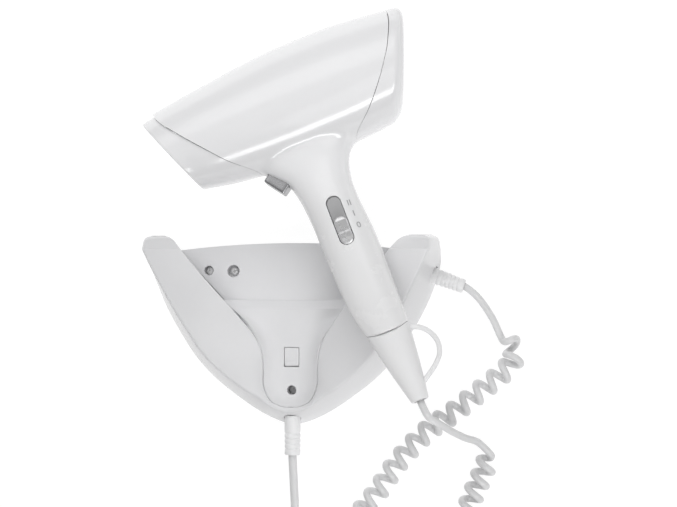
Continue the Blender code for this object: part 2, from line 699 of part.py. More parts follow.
def air_pieces():
    """Outlet grille, heater and heat shield."""
    grille = spider(lambda k: 28.6, 26.4, -84.0, -80.5, 40)
    thing = solid("outlet_grille", grille[0], grille[1])
    for k in range(-3, 4):
        w = k * 7.0
        reach = math.sqrt(27.4**2 - w * w)
        bar = block((head_u(-83.4), -reach, w - 0.6), (head_u(-81.2), reach, w + 0.6))
        combine(thing, solid("grille_bar", bar[0], bar[1]), "UNION")
    finish_node(move_into_place(thing), "black_plastic", False)
    shield = spider(lambda k: SHIELD_RADIUS, SHIELD_RADIUS - 0.9, SHIELD_U[0], SHIELD_U[1], 40)
    node("heat_shield", shield, "steel", True)
    t = 0.5
    c = CROSS_HALF
    cross = [(c, t), (t, t), (t, c), (-t, c), (-t, t), (-c, t)]
    cross += [(-y, -z) for y, z in cross]
    shape = loft([[(head_u(u), y, z) for y, z in cross] for u in (SHIELD_U[0] + 3, SHIELD_U[1] - 3)])
    node("heater_frame", shape, "mica", True, False)
    spans = (("heater_coil_front", -70.0, -50.0), ("heater_coil_rear", -44.0, -24.0))
    for name, start, end in spans:
        turns = 4
        steps = 15 * turns
        path = []
        for k in range(steps + 1):
            a = 2 * math.pi * turns * k / steps
            path.append((head_u(start + (end - start) * k / steps), 23.8 * math.sin(a), 23.8 * math.cos(a)))
        node(name, tube(path, 0.7, 4), "copper", True)
    shape = block((head_u(-52), 3.0, 3.0), (head_u(-42), 11.0, 9.0))
    node("thermostat", shape, "grey_plastic", True, False)
    shape = turned([(0, 1.8), (11, 1.8)], (head_u(-58), -8.0, 6.0), (1, 0, 0), 12)
    node("thermal_fuse", shape, "steel", True)


def fan_pieces():
    """Motor, mount, shaft, impeller and shroud."""
    a, b = MOTOR_U
    profile = [
        (a, 3.0), (a, MOTOR_RADIUS - 1), (a + 1, MOTOR_RADIUS), (b - 1, MOTOR_RADIUS),
        (b, MOTOR_RADIUS - 1), (b, SHAFT_BORE), (a + 4, SHAFT_BORE), (a + 4, 3.0),
    ]
    profile = [(head_u(u), radius) for u, radius in profile]
    node("motor_can", turned(profile, (0, 0, 0), (1, 0, 0), 28, True), "steel", True)
    profile = [(head_u(u), SHAFT_RADIUS) for u in (a + 6, FAN_U[1] - 1.5)]
    node("motor_shaft", turned(profile, (0, 0, 0), (1, 0, 0), 12), "steel", True)

    def arms(k):
        return SHROUD_RADIUS - 1.0 - GAP - 0.6 if k % 12 in (0, 1) else MOTOR_RADIUS + 2.4

    mount = spider(arms, MOTOR_RADIUS + GAP, 4.0, 14.0, 48)
    node("motor_mount", mount, "black_plastic", True, False)
    f0, f1 = FAN_U
    profile = [(f0, 10.0), (f1 - 3, 10.0), (f1, 7.0), (f1, 1.5), (f0, 1.5)]
    hub = turned([(head_u(u), radius) for u, radius in profile], (0, 0, 0), (1, 0, 0), 24, True)
    fan = solid("fan_impeller", hub[0], hub[1])
    for k in range(9):
        turn = 2 * math.pi * k / 9
        pitch = math.radians(38)
        corners = []
        for r in (8.5, FAN_RADIUS):
            ring = []
            for s, n in ((-7.2, -0.7), (7.2, -0.7), (7.2, 0.7), (-7.2, 0.7)):
                u = (f0 + f1) / 2 - 0.6 + s * math.sin(pitch) + n * math.cos(pitch)
                side = s * math.cos(pitch) - n * math.sin(pitch)
                y = r * math.sin(turn) + side * math.cos(turn)
                z = r * math.cos(turn) - side * math.sin(turn)
                ring.append((head_u(u), y, z))
            corners.append(ring)
        blade = loft(corners)
        combine(fan, solid("blade", blade[0], blade[1]), "UNION")
    finish_node(move_into_place(fan), "black_plastic", False)
    shroud = spider(lambda k: SHROUD_RADIUS, SHROUD_RADIUS - 1.2, 2.0, 43.0, 48)
    node("fan_shroud", shroud, "black_plastic", True)
    board = block((-18.0, handle_v(-150.0), -4.0), (-3.0, handle_v(-116.0), -2.4))
    node("control_board", board, "green_board", True, False)
    choke = turned([(0, 4.0), (16, 4.0)], (-10.0, handle_v(-141.0), 2.2), (0, 1, 0), 14)
    node("board_choke", choke, "copper", True)


# --- holder -----------------------------------------------------------------------------------
def holder_stations():
    """All stations from the left arm round the bottom to the right arm, as arrays."""
    rows = [mirror_station(row) for row in STATIONS] + [BOTTOM_STATION, *STATIONS[::-1]]
    scaled = []
    for base, rim, edge, shift in rows:
        scaled.append(
            (
                (base[0] * HOLDER_WIDTH_K, base[1]),
                (rim[0] * HOLDER_WIDTH_K, rim[1], rim[2] * HOLDER_DEPTH_K),
                (edge[0] * HOLDER_WIDTH_K, edge[1], edge[2] * HOLDER_DEPTH_K),
                shift,
            )
        )
    return scaled


def mirror_station(row):
    """The same station on the left side."""
    base, rim, edge, shift = row
    return ((-base[0], base[1]), (-rim[0], rim[1], rim[2]), (-edge[0], edge[1], edge[2]), shift)


def inward(points, k):
    """Unit direction in the plane from a station curve toward the inside."""
    a = np.array(points[max(0, k - 1)][:2], float)
    b = np.array(points[min(len(points) - 1, k + 1)][:2], float)
    d = b - a
    d = d / np.linalg.norm(d)
    return np.array((-d[1], d[0]))


def refine(rows):
    """Doubles the stations with a smooth curve through them."""
    flat = [(*base, *rim, *edge, shift) for base, rim, edge, shift in rows]
    dense = smooth_path(flat, 2)
    return [((r[0], r[1]), (r[2], r[3], r[4]), (r[5], r[6], r[7]), max(0.0, r[8])) for r in dense]


def toward(base, rim, z):
    """Point at height z on the line from the base of a station to its rim."""
    share = (z - GAP) / (rim[2] - GAP)
    return (base[0] + (rim[0] - base[0]) * share, base[1] + (rim[1] - base[1]) * share, z)


def gland_line():
    """Start and end of the curly cord's sleeve, which moves out with the holder's wall."""
    shift = GLAND_FROM[0] * (HOLDER_WIDTH_K - 1.0)
    return (GLAND_FROM[0] + shift, GLAND_FROM[1], GLAND_Z), (GLAND_TO[0] + shift, GLAND_TO[1], GLAND_Z)


def holder_shells():
    """Outer shell, front cover and the two arm caps."""
    rows = refine(holder_stations())
    bases = [row[0] for row in rows]
    rims = [row[1] for row in rows]
    edges = [row[2] for row in rows]
    shell_loops = []
    cover_loops = []
    for k, (base, rim, edge, shift) in enumerate(rows):
        nb = inward(bases, k)
        nr = inward(rims, k)
        ne = inward(edges, k)
        top = rim[2] - HOLDER_WALL - GAP
        b_out = (base[0], base[1], GAP)
        r_out = toward(base, rim, top)
        reach = math.dist(rim[:2], edge[:2])
        slope = max(0.0, (rim[2] - edge[2]) / reach)
        thick = HOLDER_WALL if reach > 9 else 1.5
        lining = HOLDER_WALL if reach > 9 else 1.3
        b_in = (base[0] + nb[0] * thick, base[1] + nb[1] * thick, GAP)
        r_in = (r_out[0] + nr[0] * thick, r_out[1] + nr[1] * thick, top - slope * thick * 1.15 - 0.1)
        shell_loops.append([b_out, r_out, r_in, b_in])
        foot_z = min(PLATE_Z + 1.0, edge[2] - HOLDER_WALL - 1.5)
        foot = (edge[0] - ne[0] * shift, edge[1] - ne[1] * shift, foot_z)
        foot_in = (foot[0] - ne[0] * lining, foot[1] - ne[1] * lining, foot_z)
        edge_in = (edge[0] - ne[0] * (lining + 0.1), edge[1] - ne[1] * (lining + 0.1), edge[2] - HOLDER_WALL)
        r_low = toward(base, rim, rim[2] - HOLDER_WALL)
        cover_loops.append([rim, edge, foot, foot_in, edge_in, r_low])
    shell = loft(shell_loops)
    outer = solid("outer_shell", shell[0], shell[1])
    radius = GLAND_RADIUS[0] + GAP
    start, end = gland_line()
    heading = np.array(end) - np.array(start)
    cut = turned([(0, radius), (40, radius)], start, heading, 20)
    combine(outer, solid("gland_hole", cut[0], cut[1]), "DIFFERENCE")
    radius = MAINS_GLAND_RADIUS + GAP
    cut = turned([(0, radius), (40, radius)], (0, MAINS_GLAND_Y[0] + 5, MAINS_GLAND_Z), (0, -1, 0), 20)
    combine(outer, solid("mains_hole", cut[0], cut[1]), "DIFFERENCE")
    finish_node(outer, "holder_white")
    node("front_cover", loft(cover_loops), "holder_white")
    for name, k, side in (("arm_cap_left", 0, 1), ("arm_cap_right", len(rows) - 1, -1)):
        base, rim, edge, shift = rows[k]
        y = 0.4
        shape = [
            (base[0], base[1] + y, GAP), (rim[0], rim[1] + y, rim[2]), (edge[0], edge[1] + y, edge[2]),
            (edge[0] + side * -shift, edge[1] + y, GAP + 6.0), (edge[0] + side * -shift, edge[1] + y, GAP),
        ]
        back = [(p[0], p[1] + 1.6, p[2]) for p in shape]
        node(name, loft([shape, back]), "holder_white", False, False)


def edge_half(y):
    """Half width of the opening between the wings at y."""
    rows = sorted((row[2][1], row[2][0]) for row in STATIONS)
    return float(np.interp(y, [r[0] for r in rows], [r[1] for r in rows])) * HOLDER_WIDTH_K


def edge_height(y):
    """Distance of the wing edge from the wall at y."""
    rows = sorted((row[2][1], row[2][2]) for row in STATIONS)
    return float(np.interp(y, [r[0] for r in rows], [r[1] for r in rows])) * HOLDER_DEPTH_K


def seat_point(y, share):
    """Point of the seat surface: y row, share -1 to 1 across."""
    half = edge_half(y)
    shift = float(np.interp(y, (4.0, 20.0), (-0.7, 6.0)))
    reach = half + shift
    x = share * reach
    arch = PLATE_TOP_DROP * (x / PLATE_HALF) ** 2
    if y > LEDGE_Y[0]:
        k = (y - LEDGE_Y[0]) / (PLATE_TOP_Y - LEDGE_Y[0])
        return (x, y - arch * k, PLATE_Z)
    rise = float(np.clip((LEDGE_Y[0] - y) / (LEDGE_Y[0] - LEDGE_Y[1]), 0.0, 1.0))
    floor = PLATE_Z + (FUNNEL_Z - PLATE_Z) * rise
    end = float(np.clip((-46.0 - y) / 8.5, 0.0, 1.0))
    floor = floor + 4.2 * end * end
    power = float(np.interp(y, (-30.0, 10.0), (2.4, 7.0)))
    below_edge = edge_height(y) - 0.6
    top = min(below_edge, float(np.interp(y, (-12.0, 8.0), (below_edge, FUNNEL_Z + 3.0))))
    top = max(top, floor)
    return (x, y, floor + (top - floor) * abs(share) ** power)


def seat_insert():
    """Seat plate, ledge, funnel and channel in one skin."""
    ys = [PLATE_TOP_Y, 48, 34, LEDGE_Y[0] + 1, LEDGE_Y[0], LEDGE_Y[1], 10, 5, -1, -7, -12]
    ys += [-18, -25, -32, -40, -46, -50, -53.0, -54.6]
    shares = [-1, -0.96, -0.89, -0.78, -0.6, -0.35, 0, 0.35, 0.6, 0.78, 0.89, 0.96, 1]
    top = [[seat_point(y, s) for s in shares] for y in ys]
    count = len(shares)
    vertices = [p for row in top for p in row]
    under = [(p[0], p[1], p[2] - SEAT_THICK) for p in vertices]
    total = len(vertices)
    faces = []
    rows = len(ys)
    for i in range(rows - 1):
        for j in range(count - 1):
            a = i * count + j
            faces.append((a, a + 1, a + 1 + count, a + count))
            faces.append((a + total, a + count + total, a + 1 + count + total, a + 1 + total))
    border = list(range(count))
    border += [i * count + count - 1 for i in range(1, rows)]
    border += [(rows - 1) * count + j for j in range(count - 2, -1, -1)]
    border += [i * count for i in range(rows - 2, 0, -1)]
    for k, a in enumerate(border):
        b = border[(k + 1) % len(border)]
        faces.append((a, b, b + total, a + total))
    seat = solid("seat_insert", vertices + under, faces)
    for (x, y), radius in zip(WALL_SCREWS, WALL_SCREW_HOLES):
        hole = turned([(0, radius), (30, radius)], (x * HOLDER_WIDTH_K, y, 0), (0, 0, 1), 18)
        combine(seat, solid("screw_hole", hole[0], hole[1]), "DIFFERENCE")
    px, py = PARK_AT
    hx = PARK_SIZE[0] / 2 + GAP
    hy = PARK_SIZE[1] / 2 + GAP
    hole = block((px - hx, py - hy, 0), (px + hx, py + hy, 30))
    combine(seat, solid("park_hole", hole[0], hole[1]), "DIFFERENCE")
    finish_node(seat, "holder_white")


def back_plate():
    """Flat wall plate with the screw holes."""
    rows = refine(holder_stations())
    bases = [row[0] for row in rows]
    outline = []
    for k, base in enumerate(bases):
        n = inward(bases, k)
        outline.append((base[0] + n[0] * (HOLDER_WALL + 1.6), base[1] + n[1] * (HOLDER_WALL + 1.6)))
    outline[0] = (outline[1][0], 63.0)
    outline[-1] = (outline[-2][0], 63.0)
    for k in range(9):
        x = (82 - k * 164 / 8) * HOLDER_WIDTH_K
        y = PLATE_TOP_Y - 1.5 - PLATE_TOP_DROP * (x / PLATE_HALF) ** 2
        outline.append((x, y))
    plate = loft([[(x, y, z) for x, y in outline] for z in (0.0, BACK_THICK)])
    thing = solid("back_plate", plate[0], plate[1])
    for x, y in WALL_SCREWS:
        hole = turned([(-2, 2.3), (10, 2.3)], (x * HOLDER_WIDTH_K, y, 0), (0, 0, 1), 14)
        combine(thing, solid("plate_hole", hole[0], hole[1]), "DIFFERENCE")
    finish_node(thing, "holder_white", False)


def holder_small_pieces():
    """Park button, switch, terminals and screws."""
    px, py = PARK_AT
    hx, hy = PARK_SIZE[0] / 2, PARK_SIZE[1] / 2
    top = FUNNEL_Z + 0.5
    low = top - 5.0
    side = [(py - hy, low), (py + hy, low), (py + hy, top), (py - hy + 2.7, top), (py - hy, top - 1.3)]
    button = loft([[(x, y, z) for y, z in side] for x in (px - hx, px + hx)])
    node("park_button", button, "holder_white", False, False)
    low = BACK_THICK + GAP
    node("park_switch", block((px - 4, py - 5, low), (px + 4, py + 5, 5.6)), "black_plastic", False, False)
    node("terminal_block", block((-20, 26, low), (20, 36, 6.4)), "grey_plastic", False, False)
    names = ("outer_left", "inner_left", "inner_right", "outer_right", "lower")
    for place, (x, y) in zip(names, WALL_SCREWS):
        name = "wall_screw_" + place
        seat = BACK_THICK + GAP
        profile = [(0.2, 1.9), (seat, 1.9), (seat, 3.1), (BACK_THICK + 1.4, 3.1), (BACK_THICK + 2.3, 2.0)]
        shape = turned(profile, (x * HOLDER_WIDTH_K, y, 0), (0, 0, 1), 12)
        screw = solid(name, shape[0], shape[1])
        z = BACK_THICK + 1.3
        x *= HOLDER_WIDTH_K
        cut = block((x - 1.8, y - 0.35, z), (x + 1.8, y + 0.35, z + 4))
        combine(screw, solid("recess", cut[0], cut[1]), "DIFFERENCE")
        cut = block((x - 0.35, y - 1.8, z), (x + 0.35, y + 1.8, z + 4))
        combine(screw, solid("recess", cut[0], cut[1]), "DIFFERENCE")
        finish_node(screw, "steel", False)


def gland(name, start, end, radius_a, radius_b, bore, ribs, flat):
    """Ribbed cord sleeve along a line, with a bore."""
    a = np.array(start, float)
    b = np.array(end, float)
    length = float(np.linalg.norm(b - a))
    rows = [(0.0, bore), (0.0, radius_a)]
    begin = length * flat
    rows.append((begin, radius_a))
    step = (length * 0.92 - begin) / ribs
    for k in range(ribs):
        s = begin + step * k
        mix = s / length
        r = radius_a * (1 - mix) + radius_b * mix
        rows += [(s + step * 0.15, r - 0.7), (s + step * 0.4, r - 0.7)]
        rows += [(s + step * 0.55, r), (s + step * 0.98, r)]
    rows += [(length - 0.6, radius_b), (length, radius_b - 0.6), (length, bore + 0.5), (length - 1.4, bore)]
    node(name, turned(rows, a, b - a, 16, True), "cord_white")


def cords():
    """Both cords, their sleeves and the tie."""
    wire = CURLY_WIRE / 2
    start, end = gland_line()
    gland("curly_gland", start, end, GLAND_RADIUS[0], GLAND_RADIUS[1], wire + GAP, 5, 0.36)
    start = (0, MAINS_GLAND_Y[0], MAINS_GLAND_Z)
    end = (0, MAINS_GLAND_Y[1], MAINS_GLAND_Z)
    radius = MAINS_GLAND_RADIUS
    gland("mains_gland", start, end, radius, radius - 0.1, MAINS_WIRE / 2 + GAP, 4, 0.40)
    mouth = np.array(gland_line()[1])
    direction = mouth - np.array(gland_line()[0])
    direction = direction / np.linalg.norm(direction)
    first = COIL_AXIS[0]
    lead = [
        mouth - direction * 12, mouth - direction * 5.0, mouth + direction * 1.6, (133.0, 21.6, GLAND_Z),
        (142.4, 7.8, GLAND_Z), (first[0] - 0.6, first[1] + 0.8, COIL_Z),
    ]
    node("curly_lead_holder", tube(smooth_path(lead, 4), wire, 10), "cord_white")
    axis = [(x, y, COIL_Z) for x, y in COIL_AXIS]
    node("curly_coil", tube(smooth_path(axis, 3), COIL_DIAMETER / 2, 12), "cord_white")
    leave = handle_v(TAIL_END)
    tail = pose([
        (TAIL_END_CENTRE, handle_v(-214.0), 0.0),
        (TAIL_END_CENTRE, leave - 2.0, 0.0),
        (TAIL_END_CENTRE + 1.0, leave - 12.0, -1.0),
    ])
    last = COIL_AXIS[-1]
    lead = [tuple(p) for p in tail]
    lead += [
        (107.0, -62.5, 50.0), (115.5, -69.5, 36.0), (124.0, -75.0, 25.0), (133.0, -79.0, 17.0),
        (last[0] + 0.6, last[1] + 3.6, COIL_Z + 2.5),
    ]
    node("curly_lead_handset", tube(smooth_path(lead, 4), wire, 10), "cord_white")
    cx, cy = MAINS_COIL_AT
    ring_z = MAINS_COIL_TUBE + 1.4
    lead = [
        (0, MAINS_GLAND_Y[1] + 14, MAINS_GLAND_Z), (0, MAINS_GLAND_Y[1] + 5, MAINS_GLAND_Z),
        (0, MAINS_GLAND_Y[1] - 2, MAINS_GLAND_Z - 0.05), (0.4, -112, 6.4),
        (0.8, -135, 3.6), (-0.5, -160, 3.6), (-6, -178, 4.6),
        (cx + MAINS_COIL_RADIUS + MAINS_COIL_TUBE + 1.2 + MAINS_WIRE / 2, cy + 4.0, ring_z),
    ]
    node("mains_lead", tube(smooth_path(lead, 4), MAINS_WIRE / 2, 10), "cord_white")
    loops = []
    for k in range(32):
        t = 2 * math.pi * k / 32
        ring = []
        for j in range(10):
            a = 2 * math.pi * j / 10
            r = MAINS_COIL_RADIUS + MAINS_COIL_TUBE * math.cos(a)
            ring.append((cx + r * math.cos(t), cy + r * math.sin(t), ring_z + MAINS_COIL_TUBE * math.sin(a)))
        loops.append(ring)
    node("mains_coil", ring_loft(loops), "cord_white")
    px, py = PLUG_AT
    start_x = cx - MAINS_COIL_RADIUS - MAINS_COIL_TUBE - 0.8 - MAINS_WIRE / 2
    lead = [
        (start_x, cy + 6.0, ring_z), (start_x - 1.0, cy + 26.0, ring_z), (start_x - 8.0, cy + 44.0, ring_z),
        (px + 6.0, py + 14.0, ring_z + 1.0), (px + 0.4, py + 8.0, PLUG_Z), (px, py + GAP, PLUG_Z),
    ]
    node("plug_lead", tube(smooth_path(lead, 4), MAINS_WIRE / 2, 10), "cord_white")
    loops = []
    for t in (-0.1, 0.1):
        ring_out = []
        for j in range(16):
            a = 2 * math.pi * j / 16
            r = MAINS_COIL_RADIUS + (MAINS_COIL_TUBE + 1.8) * math.cos(a)
            z = max(0.15, ring_z + (MAINS_COIL_TUBE + 1.5) * math.sin(a))
            ring_out.append((cx + r * math.cos(t + math.pi / 2), cy + r * math.sin(t + math.pi / 2), z))
        loops.append(ring_out)
    for t in (0.1, -0.1):
        ring_in = []
        for j in range(16):
            a = 2 * math.pi * j / 16
            r = MAINS_COIL_RADIUS + (MAINS_COIL_TUBE + 0.7) * math.cos(a)
            z = ring_z + (MAINS_COIL_TUBE + 0.5) * math.sin(a)
            ring_in.append((cx + r * math.cos(t + math.pi / 2), cy + r * math.sin(t + math.pi / 2), z))
        loops.append(ring_in)
    node("cord_tie", ring_loft(loops), "black_plastic")


def plug():
    """Two-pin plug beside the coil: rows of (distance along, half width, half depth)."""
    x, y = PLUG_AT
    rows = [(0, 4.6, 4.6), (8, 5.4, 5.6), (20, 9.0, 8.4), (34, 16.0, 9.2), (46, 17.6, 9.6)]
    rows.append((PLUG_LENGTH, 17.2, 9.4))
    loops = []
    for along, half, depth in rows:
        ring = []
        for k in range(24):
            t = 2 * math.pi * k / 24
            c = math.cos(t)
            s = math.sin(t)
            across = half * math.copysign(abs(c) ** 0.8, c)
            rise = depth * math.copysign(abs(s) ** 0.8, s)
            ring.append((x + across, y - along, PLUG_Z + rise))
        loops.append(ring)
    node("plug_body", loft(loops), "cord_white")
    for name, side in (("plug_pin_1", -1), ("plug_pin_2", 1)):
        start = (x + side * PIN_SPACING / 2, y - PLUG_LENGTH - GAP, PLUG_Z)
        node(name, turned([(0, 2.4), (17.5, 2.4), (19, 1.4)], start, (0, -1, 0), 14), "steel")


# --- build --------------------------------------------------------------------------------------
for old in list(bpy.data.objects):
    bpy.data.objects.remove(old)
PARTS = bpy.data.collections.new("hair_dryer")
bpy.context.scene.collection.children.link(PARTS)
BOSSES = []
casing_halves()
head_pieces()
tail_pieces()
switch_pieces()
casing_screws()
air_pieces()
fan_pieces()
holder_shells()
seat_insert()
back_plate()
holder_small_pieces()
cords()
plug()
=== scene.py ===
"""Looks of a hair dryer parked on its wall holder: smooth shells, controls, cords and finishes."""

import json
import logging
import math
from contextlib import contextmanager
from dataclasses import dataclass
from enum import Enum
from typing import Callable, Iterator

import bpy
import numpy as np
from mathutils import Matrix, Vector


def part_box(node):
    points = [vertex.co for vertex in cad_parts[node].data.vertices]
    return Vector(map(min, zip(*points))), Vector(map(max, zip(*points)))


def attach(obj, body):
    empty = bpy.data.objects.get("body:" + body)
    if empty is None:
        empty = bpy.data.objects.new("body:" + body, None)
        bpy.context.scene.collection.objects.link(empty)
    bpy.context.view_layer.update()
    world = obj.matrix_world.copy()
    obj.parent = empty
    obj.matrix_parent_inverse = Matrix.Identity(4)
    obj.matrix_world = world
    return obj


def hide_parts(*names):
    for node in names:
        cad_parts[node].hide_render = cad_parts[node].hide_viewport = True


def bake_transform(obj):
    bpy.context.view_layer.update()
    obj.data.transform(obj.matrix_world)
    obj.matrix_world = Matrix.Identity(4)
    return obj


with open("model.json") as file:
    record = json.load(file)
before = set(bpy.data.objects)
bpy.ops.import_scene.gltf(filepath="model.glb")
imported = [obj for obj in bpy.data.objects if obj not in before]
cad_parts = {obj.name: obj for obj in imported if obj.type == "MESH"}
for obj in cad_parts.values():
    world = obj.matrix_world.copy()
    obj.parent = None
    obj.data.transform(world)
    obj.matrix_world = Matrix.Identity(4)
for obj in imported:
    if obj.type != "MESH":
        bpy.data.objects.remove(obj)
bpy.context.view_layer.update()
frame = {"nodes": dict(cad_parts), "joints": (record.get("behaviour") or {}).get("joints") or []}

MM = 0.001
LOG = logging.getLogger("hair_dryer")
Rings = list[np.ndarray]


# --- curves and places -----------------------------------------------------------------------
@dataclass(frozen=True)
class SmoothCurve:
    """A monotone curve through a few points."""

    points: tuple[tuple[float, float], ...]

    def at(self, x: np.ndarray) -> np.ndarray:
        """Values of the curve.

        Args:
            x: where to read the curve.

        Returns:
            One value for each x; outside the points the end slopes go on.
        """
        x = np.asarray(x, float)
        xs, ys = (np.array(column, float) for column in zip(*sorted(self.points)))
        slopes = np.diff(ys) / np.diff(xs)
        product = slopes[:-1] * slopes[1:]
        total = slopes[:-1] + slopes[1:]
        mean = np.where(product > 0, 2 * product / np.where(total == 0, 1.0, total), 0.0)
        tangents = np.concatenate([[slopes[0]], mean, [slopes[-1]]])
        k = np.clip(np.searchsorted(xs, x, side="right") - 1, 0, len(xs) - 2)
        step = xs[k + 1] - xs[k]
        t = (x - xs[k]) / step
        inside = (
            ys[k] * (2 * t**3 - 3 * t**2 + 1)
            + tangents[k] * step * (t**3 - 2 * t**2 + t)
            + ys[k + 1] * (3 * t**2 - 2 * t**3)
            + tangents[k + 1] * step * (t**3 - t**2)
        )
        before = ys[0] + (x - xs[0]) * slopes[0]
        after = ys[-1] + (x - xs[-1]) * slopes[-1]
        return np.where(x < xs[0], before, np.where(x > xs[-1], after, inside))


def smooth_path(points: list, steps: int) -> np.ndarray:
    """A smooth path through points.

    Args:
        points: the points, in any number of dimensions.
        steps: stretches between two of them.

    Returns:
        The path's points as rows.
    """
    known = np.array(points, float)
    ends = np.vstack([2 * known[0] - known[1], known, 2 * known[-1] - known[-2]])
    out = []
    for i in range(1, len(ends) - 2):
        p0, p1, p2, p3 = ends[i - 1 : i + 3]
        for t in np.arange(steps) / steps:
            bend = (p2 - p0) * t + (2 * p0 - 5 * p1 + 4 * p2 - p3) * t**2 + (3 * p1 - p0 - 3 * p2 + p3) * t**3
            out.append(0.5 * (2 * p1 + bend))
    return np.array([*out, known[-1]])


def rounded(points: np.ndarray, radii: list[float], steps: int) -> np.ndarray:
    """A line with its corners rounded off.

    Args:
        points: the corners.
        radii: how far each inner corner is cut back.
        steps: stretches of each rounding.

    Returns:
        The rounded line's points.
    """
    out = [points[0]]
    for before, corner, after, radius in zip(points[:-2], points[1:-1], points[2:], radii):
        back = before - corner
        on = after - corner
        cut_back = min(radius, 0.48 * np.linalg.norm(back))
        cut_on = min(radius, 0.48 * np.linalg.norm(on))
        a = corner + back / np.linalg.norm(back) * cut_back
        b = corner + on / np.linalg.norm(on) * cut_on
        for t in np.linspace(0, 1, steps + 1):
            out.append((1 - t) ** 2 * a + 2 * t * (1 - t) * corner + t * t * b)
    return np.array([*out, points[-1]])


class HandsetFrame:
    """The handset's own axes in mm: u along the head to the rear, v up the grip, w out of its side."""

    FAN_AT_U = 31.0

    def __init__(self, joints: list[dict]) -> None:
        """Takes the axes from the fan's and the slide switch's joints."""
        fan = next(j for j in joints if j["name"] == "fan_spin")
        slide = next(j for j in joints if j["name"] == "switch_slide")
        self.u = np.array(fan["axis"], float)
        self.v = np.array(slide["axis"], float)
        self.w = np.cross(self.u, self.v)
        self.centre = np.array(fan["pos_m"], float) / MM - self.FAN_AT_U * self.u

    def place(self, points: np.ndarray) -> np.ndarray:
        """Handset millimetres to frame millimetres."""
        p = np.asarray(points, float)
        return self.centre + p[..., :1] * self.u + p[..., 1:2] * self.v + p[..., 2:3] * self.w

    def local(self, points: np.ndarray) -> np.ndarray:
        """Frame millimetres to handset millimetres."""
        off = points - self.centre
        return np.column_stack([off @ self.u, off @ self.v, off @ self.w])


# --- mesh work ---------------------------------------------------------------------------------
def clear_selection() -> None:
    """Deselects all objects."""
    bpy.ops.object.select_all(action="DESELECT")


def choose(thing: bpy.types.Object) -> bpy.types.Object:
    """Makes one object the selected and active one."""
    clear_selection()
    thing.select_set(True)
    bpy.context.view_layer.objects.active = thing
    return thing


@contextmanager
def edit_mode(thing: bpy.types.Object) -> Iterator[None]:
    """Edit mode with all of one object's faces selected."""
    choose(thing)
    bpy.ops.object.mode_set(mode="EDIT")
    bpy.ops.mesh.select_all(action="SELECT")
    yield
    bpy.ops.object.mode_set(mode="OBJECT")


def apply_modifier(thing: bpy.types.Object, kind: str, **settings: object) -> bpy.types.Object:
    """Adds a modifier and applies it.

    Args:
        thing: the object.
        kind: the modifier's type.
        settings: its settings.

    Returns:
        The object.
    """
    choose(thing)
    modifier = thing.modifiers.new(kind.lower(), kind)
    for name, value in settings.items():
        setattr(modifier, name, value)
    bpy.ops.object.modifier_apply(modifier=modifier.name)
    return thing


def skin(name: str, rings: Rings, around: bool = True, along: bool = False) -> bpy.types.Object:
    """A grid bent into a skin over rings.

    Args:
        name: the piece's name.
        rings: rows of points in mm, equally many in each.
        around: each row closes on itself.
        along: the last row joins the first.

    Returns:
        The mesh object, with its faces outward.
    """
    rows = np.array(rings, float)
    if around:
        rows = np.concatenate([rows, rows[:, :1]], axis=1)
    if along:
        rows = np.concatenate([rows, rows[:1]], axis=0)
    count_y, count_x = rows.shape[:2]
    clear_selection()
    bpy.ops.mesh.primitive_grid_add(x_subdivisions=count_x - 1, y_subdivisions=count_y - 1, size=2.0)
    thing = bpy.context.object
    thing.name = name
    flat = np.empty(len(thing.data.vertices) * 3)
    thing.data.vertices.foreach_get("co", flat)
    flat = flat.reshape(-1, 3)
    column = np.rint((flat[:, 0] + 1) / 2 * (count_x - 1)).astype(int)
    row = np.rint((flat[:, 1] + 1) / 2 * (count_y - 1)).astype(int)
    thing.data.vertices.foreach_set("co", (rows[row, column] * MM).ravel())
    thing.data.update()
    tidy(thing)
    return thing


def tidy(thing: bpy.types.Object, reach: float = 0.000004) -> bpy.types.Object:
    """Merges doubles and turns the faces outward."""
    with edit_mode(thing):
        bpy.ops.mesh.remove_doubles(threshold=reach)
        bpy.ops.mesh.normals_make_consistent(inside=False)
    return thing


def closed(rings: Rings) -> Rings:
    """Rings with a cap at each end, each drawn to a point."""
    first = np.repeat(rings[0].mean(axis=0)[None], len(rings[0]), axis=0)
    last = np.repeat(rings[-1].mean(axis=0)[None], len(rings[-1]), axis=0)
    return [first, *rings, last]


def cut(thing: bpy.types.Object, tool: bpy.types.Object, how: str = "DIFFERENCE") -> bpy.types.Object:
    """Boolean with a tool that is then removed."""
    apply_modifier(thing, "BOOLEAN", operation=how, solver="EXACT", object=tool)
    bpy.data.objects.remove(tool)
    return thing


def turned(
    name: str, profile: list, start: np.ndarray, axis: np.ndarray, sides: int, tube: bool = False
) -> bpy.types.Object:
    """A turned piece.

    Args:
        name: the piece's name.
        profile: (distance along, radius) rows in mm.
        start: where the axis starts, in mm.
        axis: its direction.
        sides: faces round it.
        tube: the profile is a closed loop, as on a sleeve.

    Returns:
        The mesh object.
    """
    line = np.array(axis, float) / np.linalg.norm(axis)
    helper = np.array((0.0, 0.0, 1.0)) if abs(line[2]) < 0.9 else np.array((1.0, 0.0, 0.0))
    side = np.cross(line, helper)
    side /= np.linalg.norm(side)
    up = np.cross(line, side)
    turn = 2 * math.pi * np.arange(sides) / sides
    spoke = np.cos(turn)[:, None] * side + np.sin(turn)[:, None] * up
    rings = [np.array(start, float) + line * along + spoke * radius for along, radius in profile]
    return skin(name, rings if tube else closed(rings), along=tube)


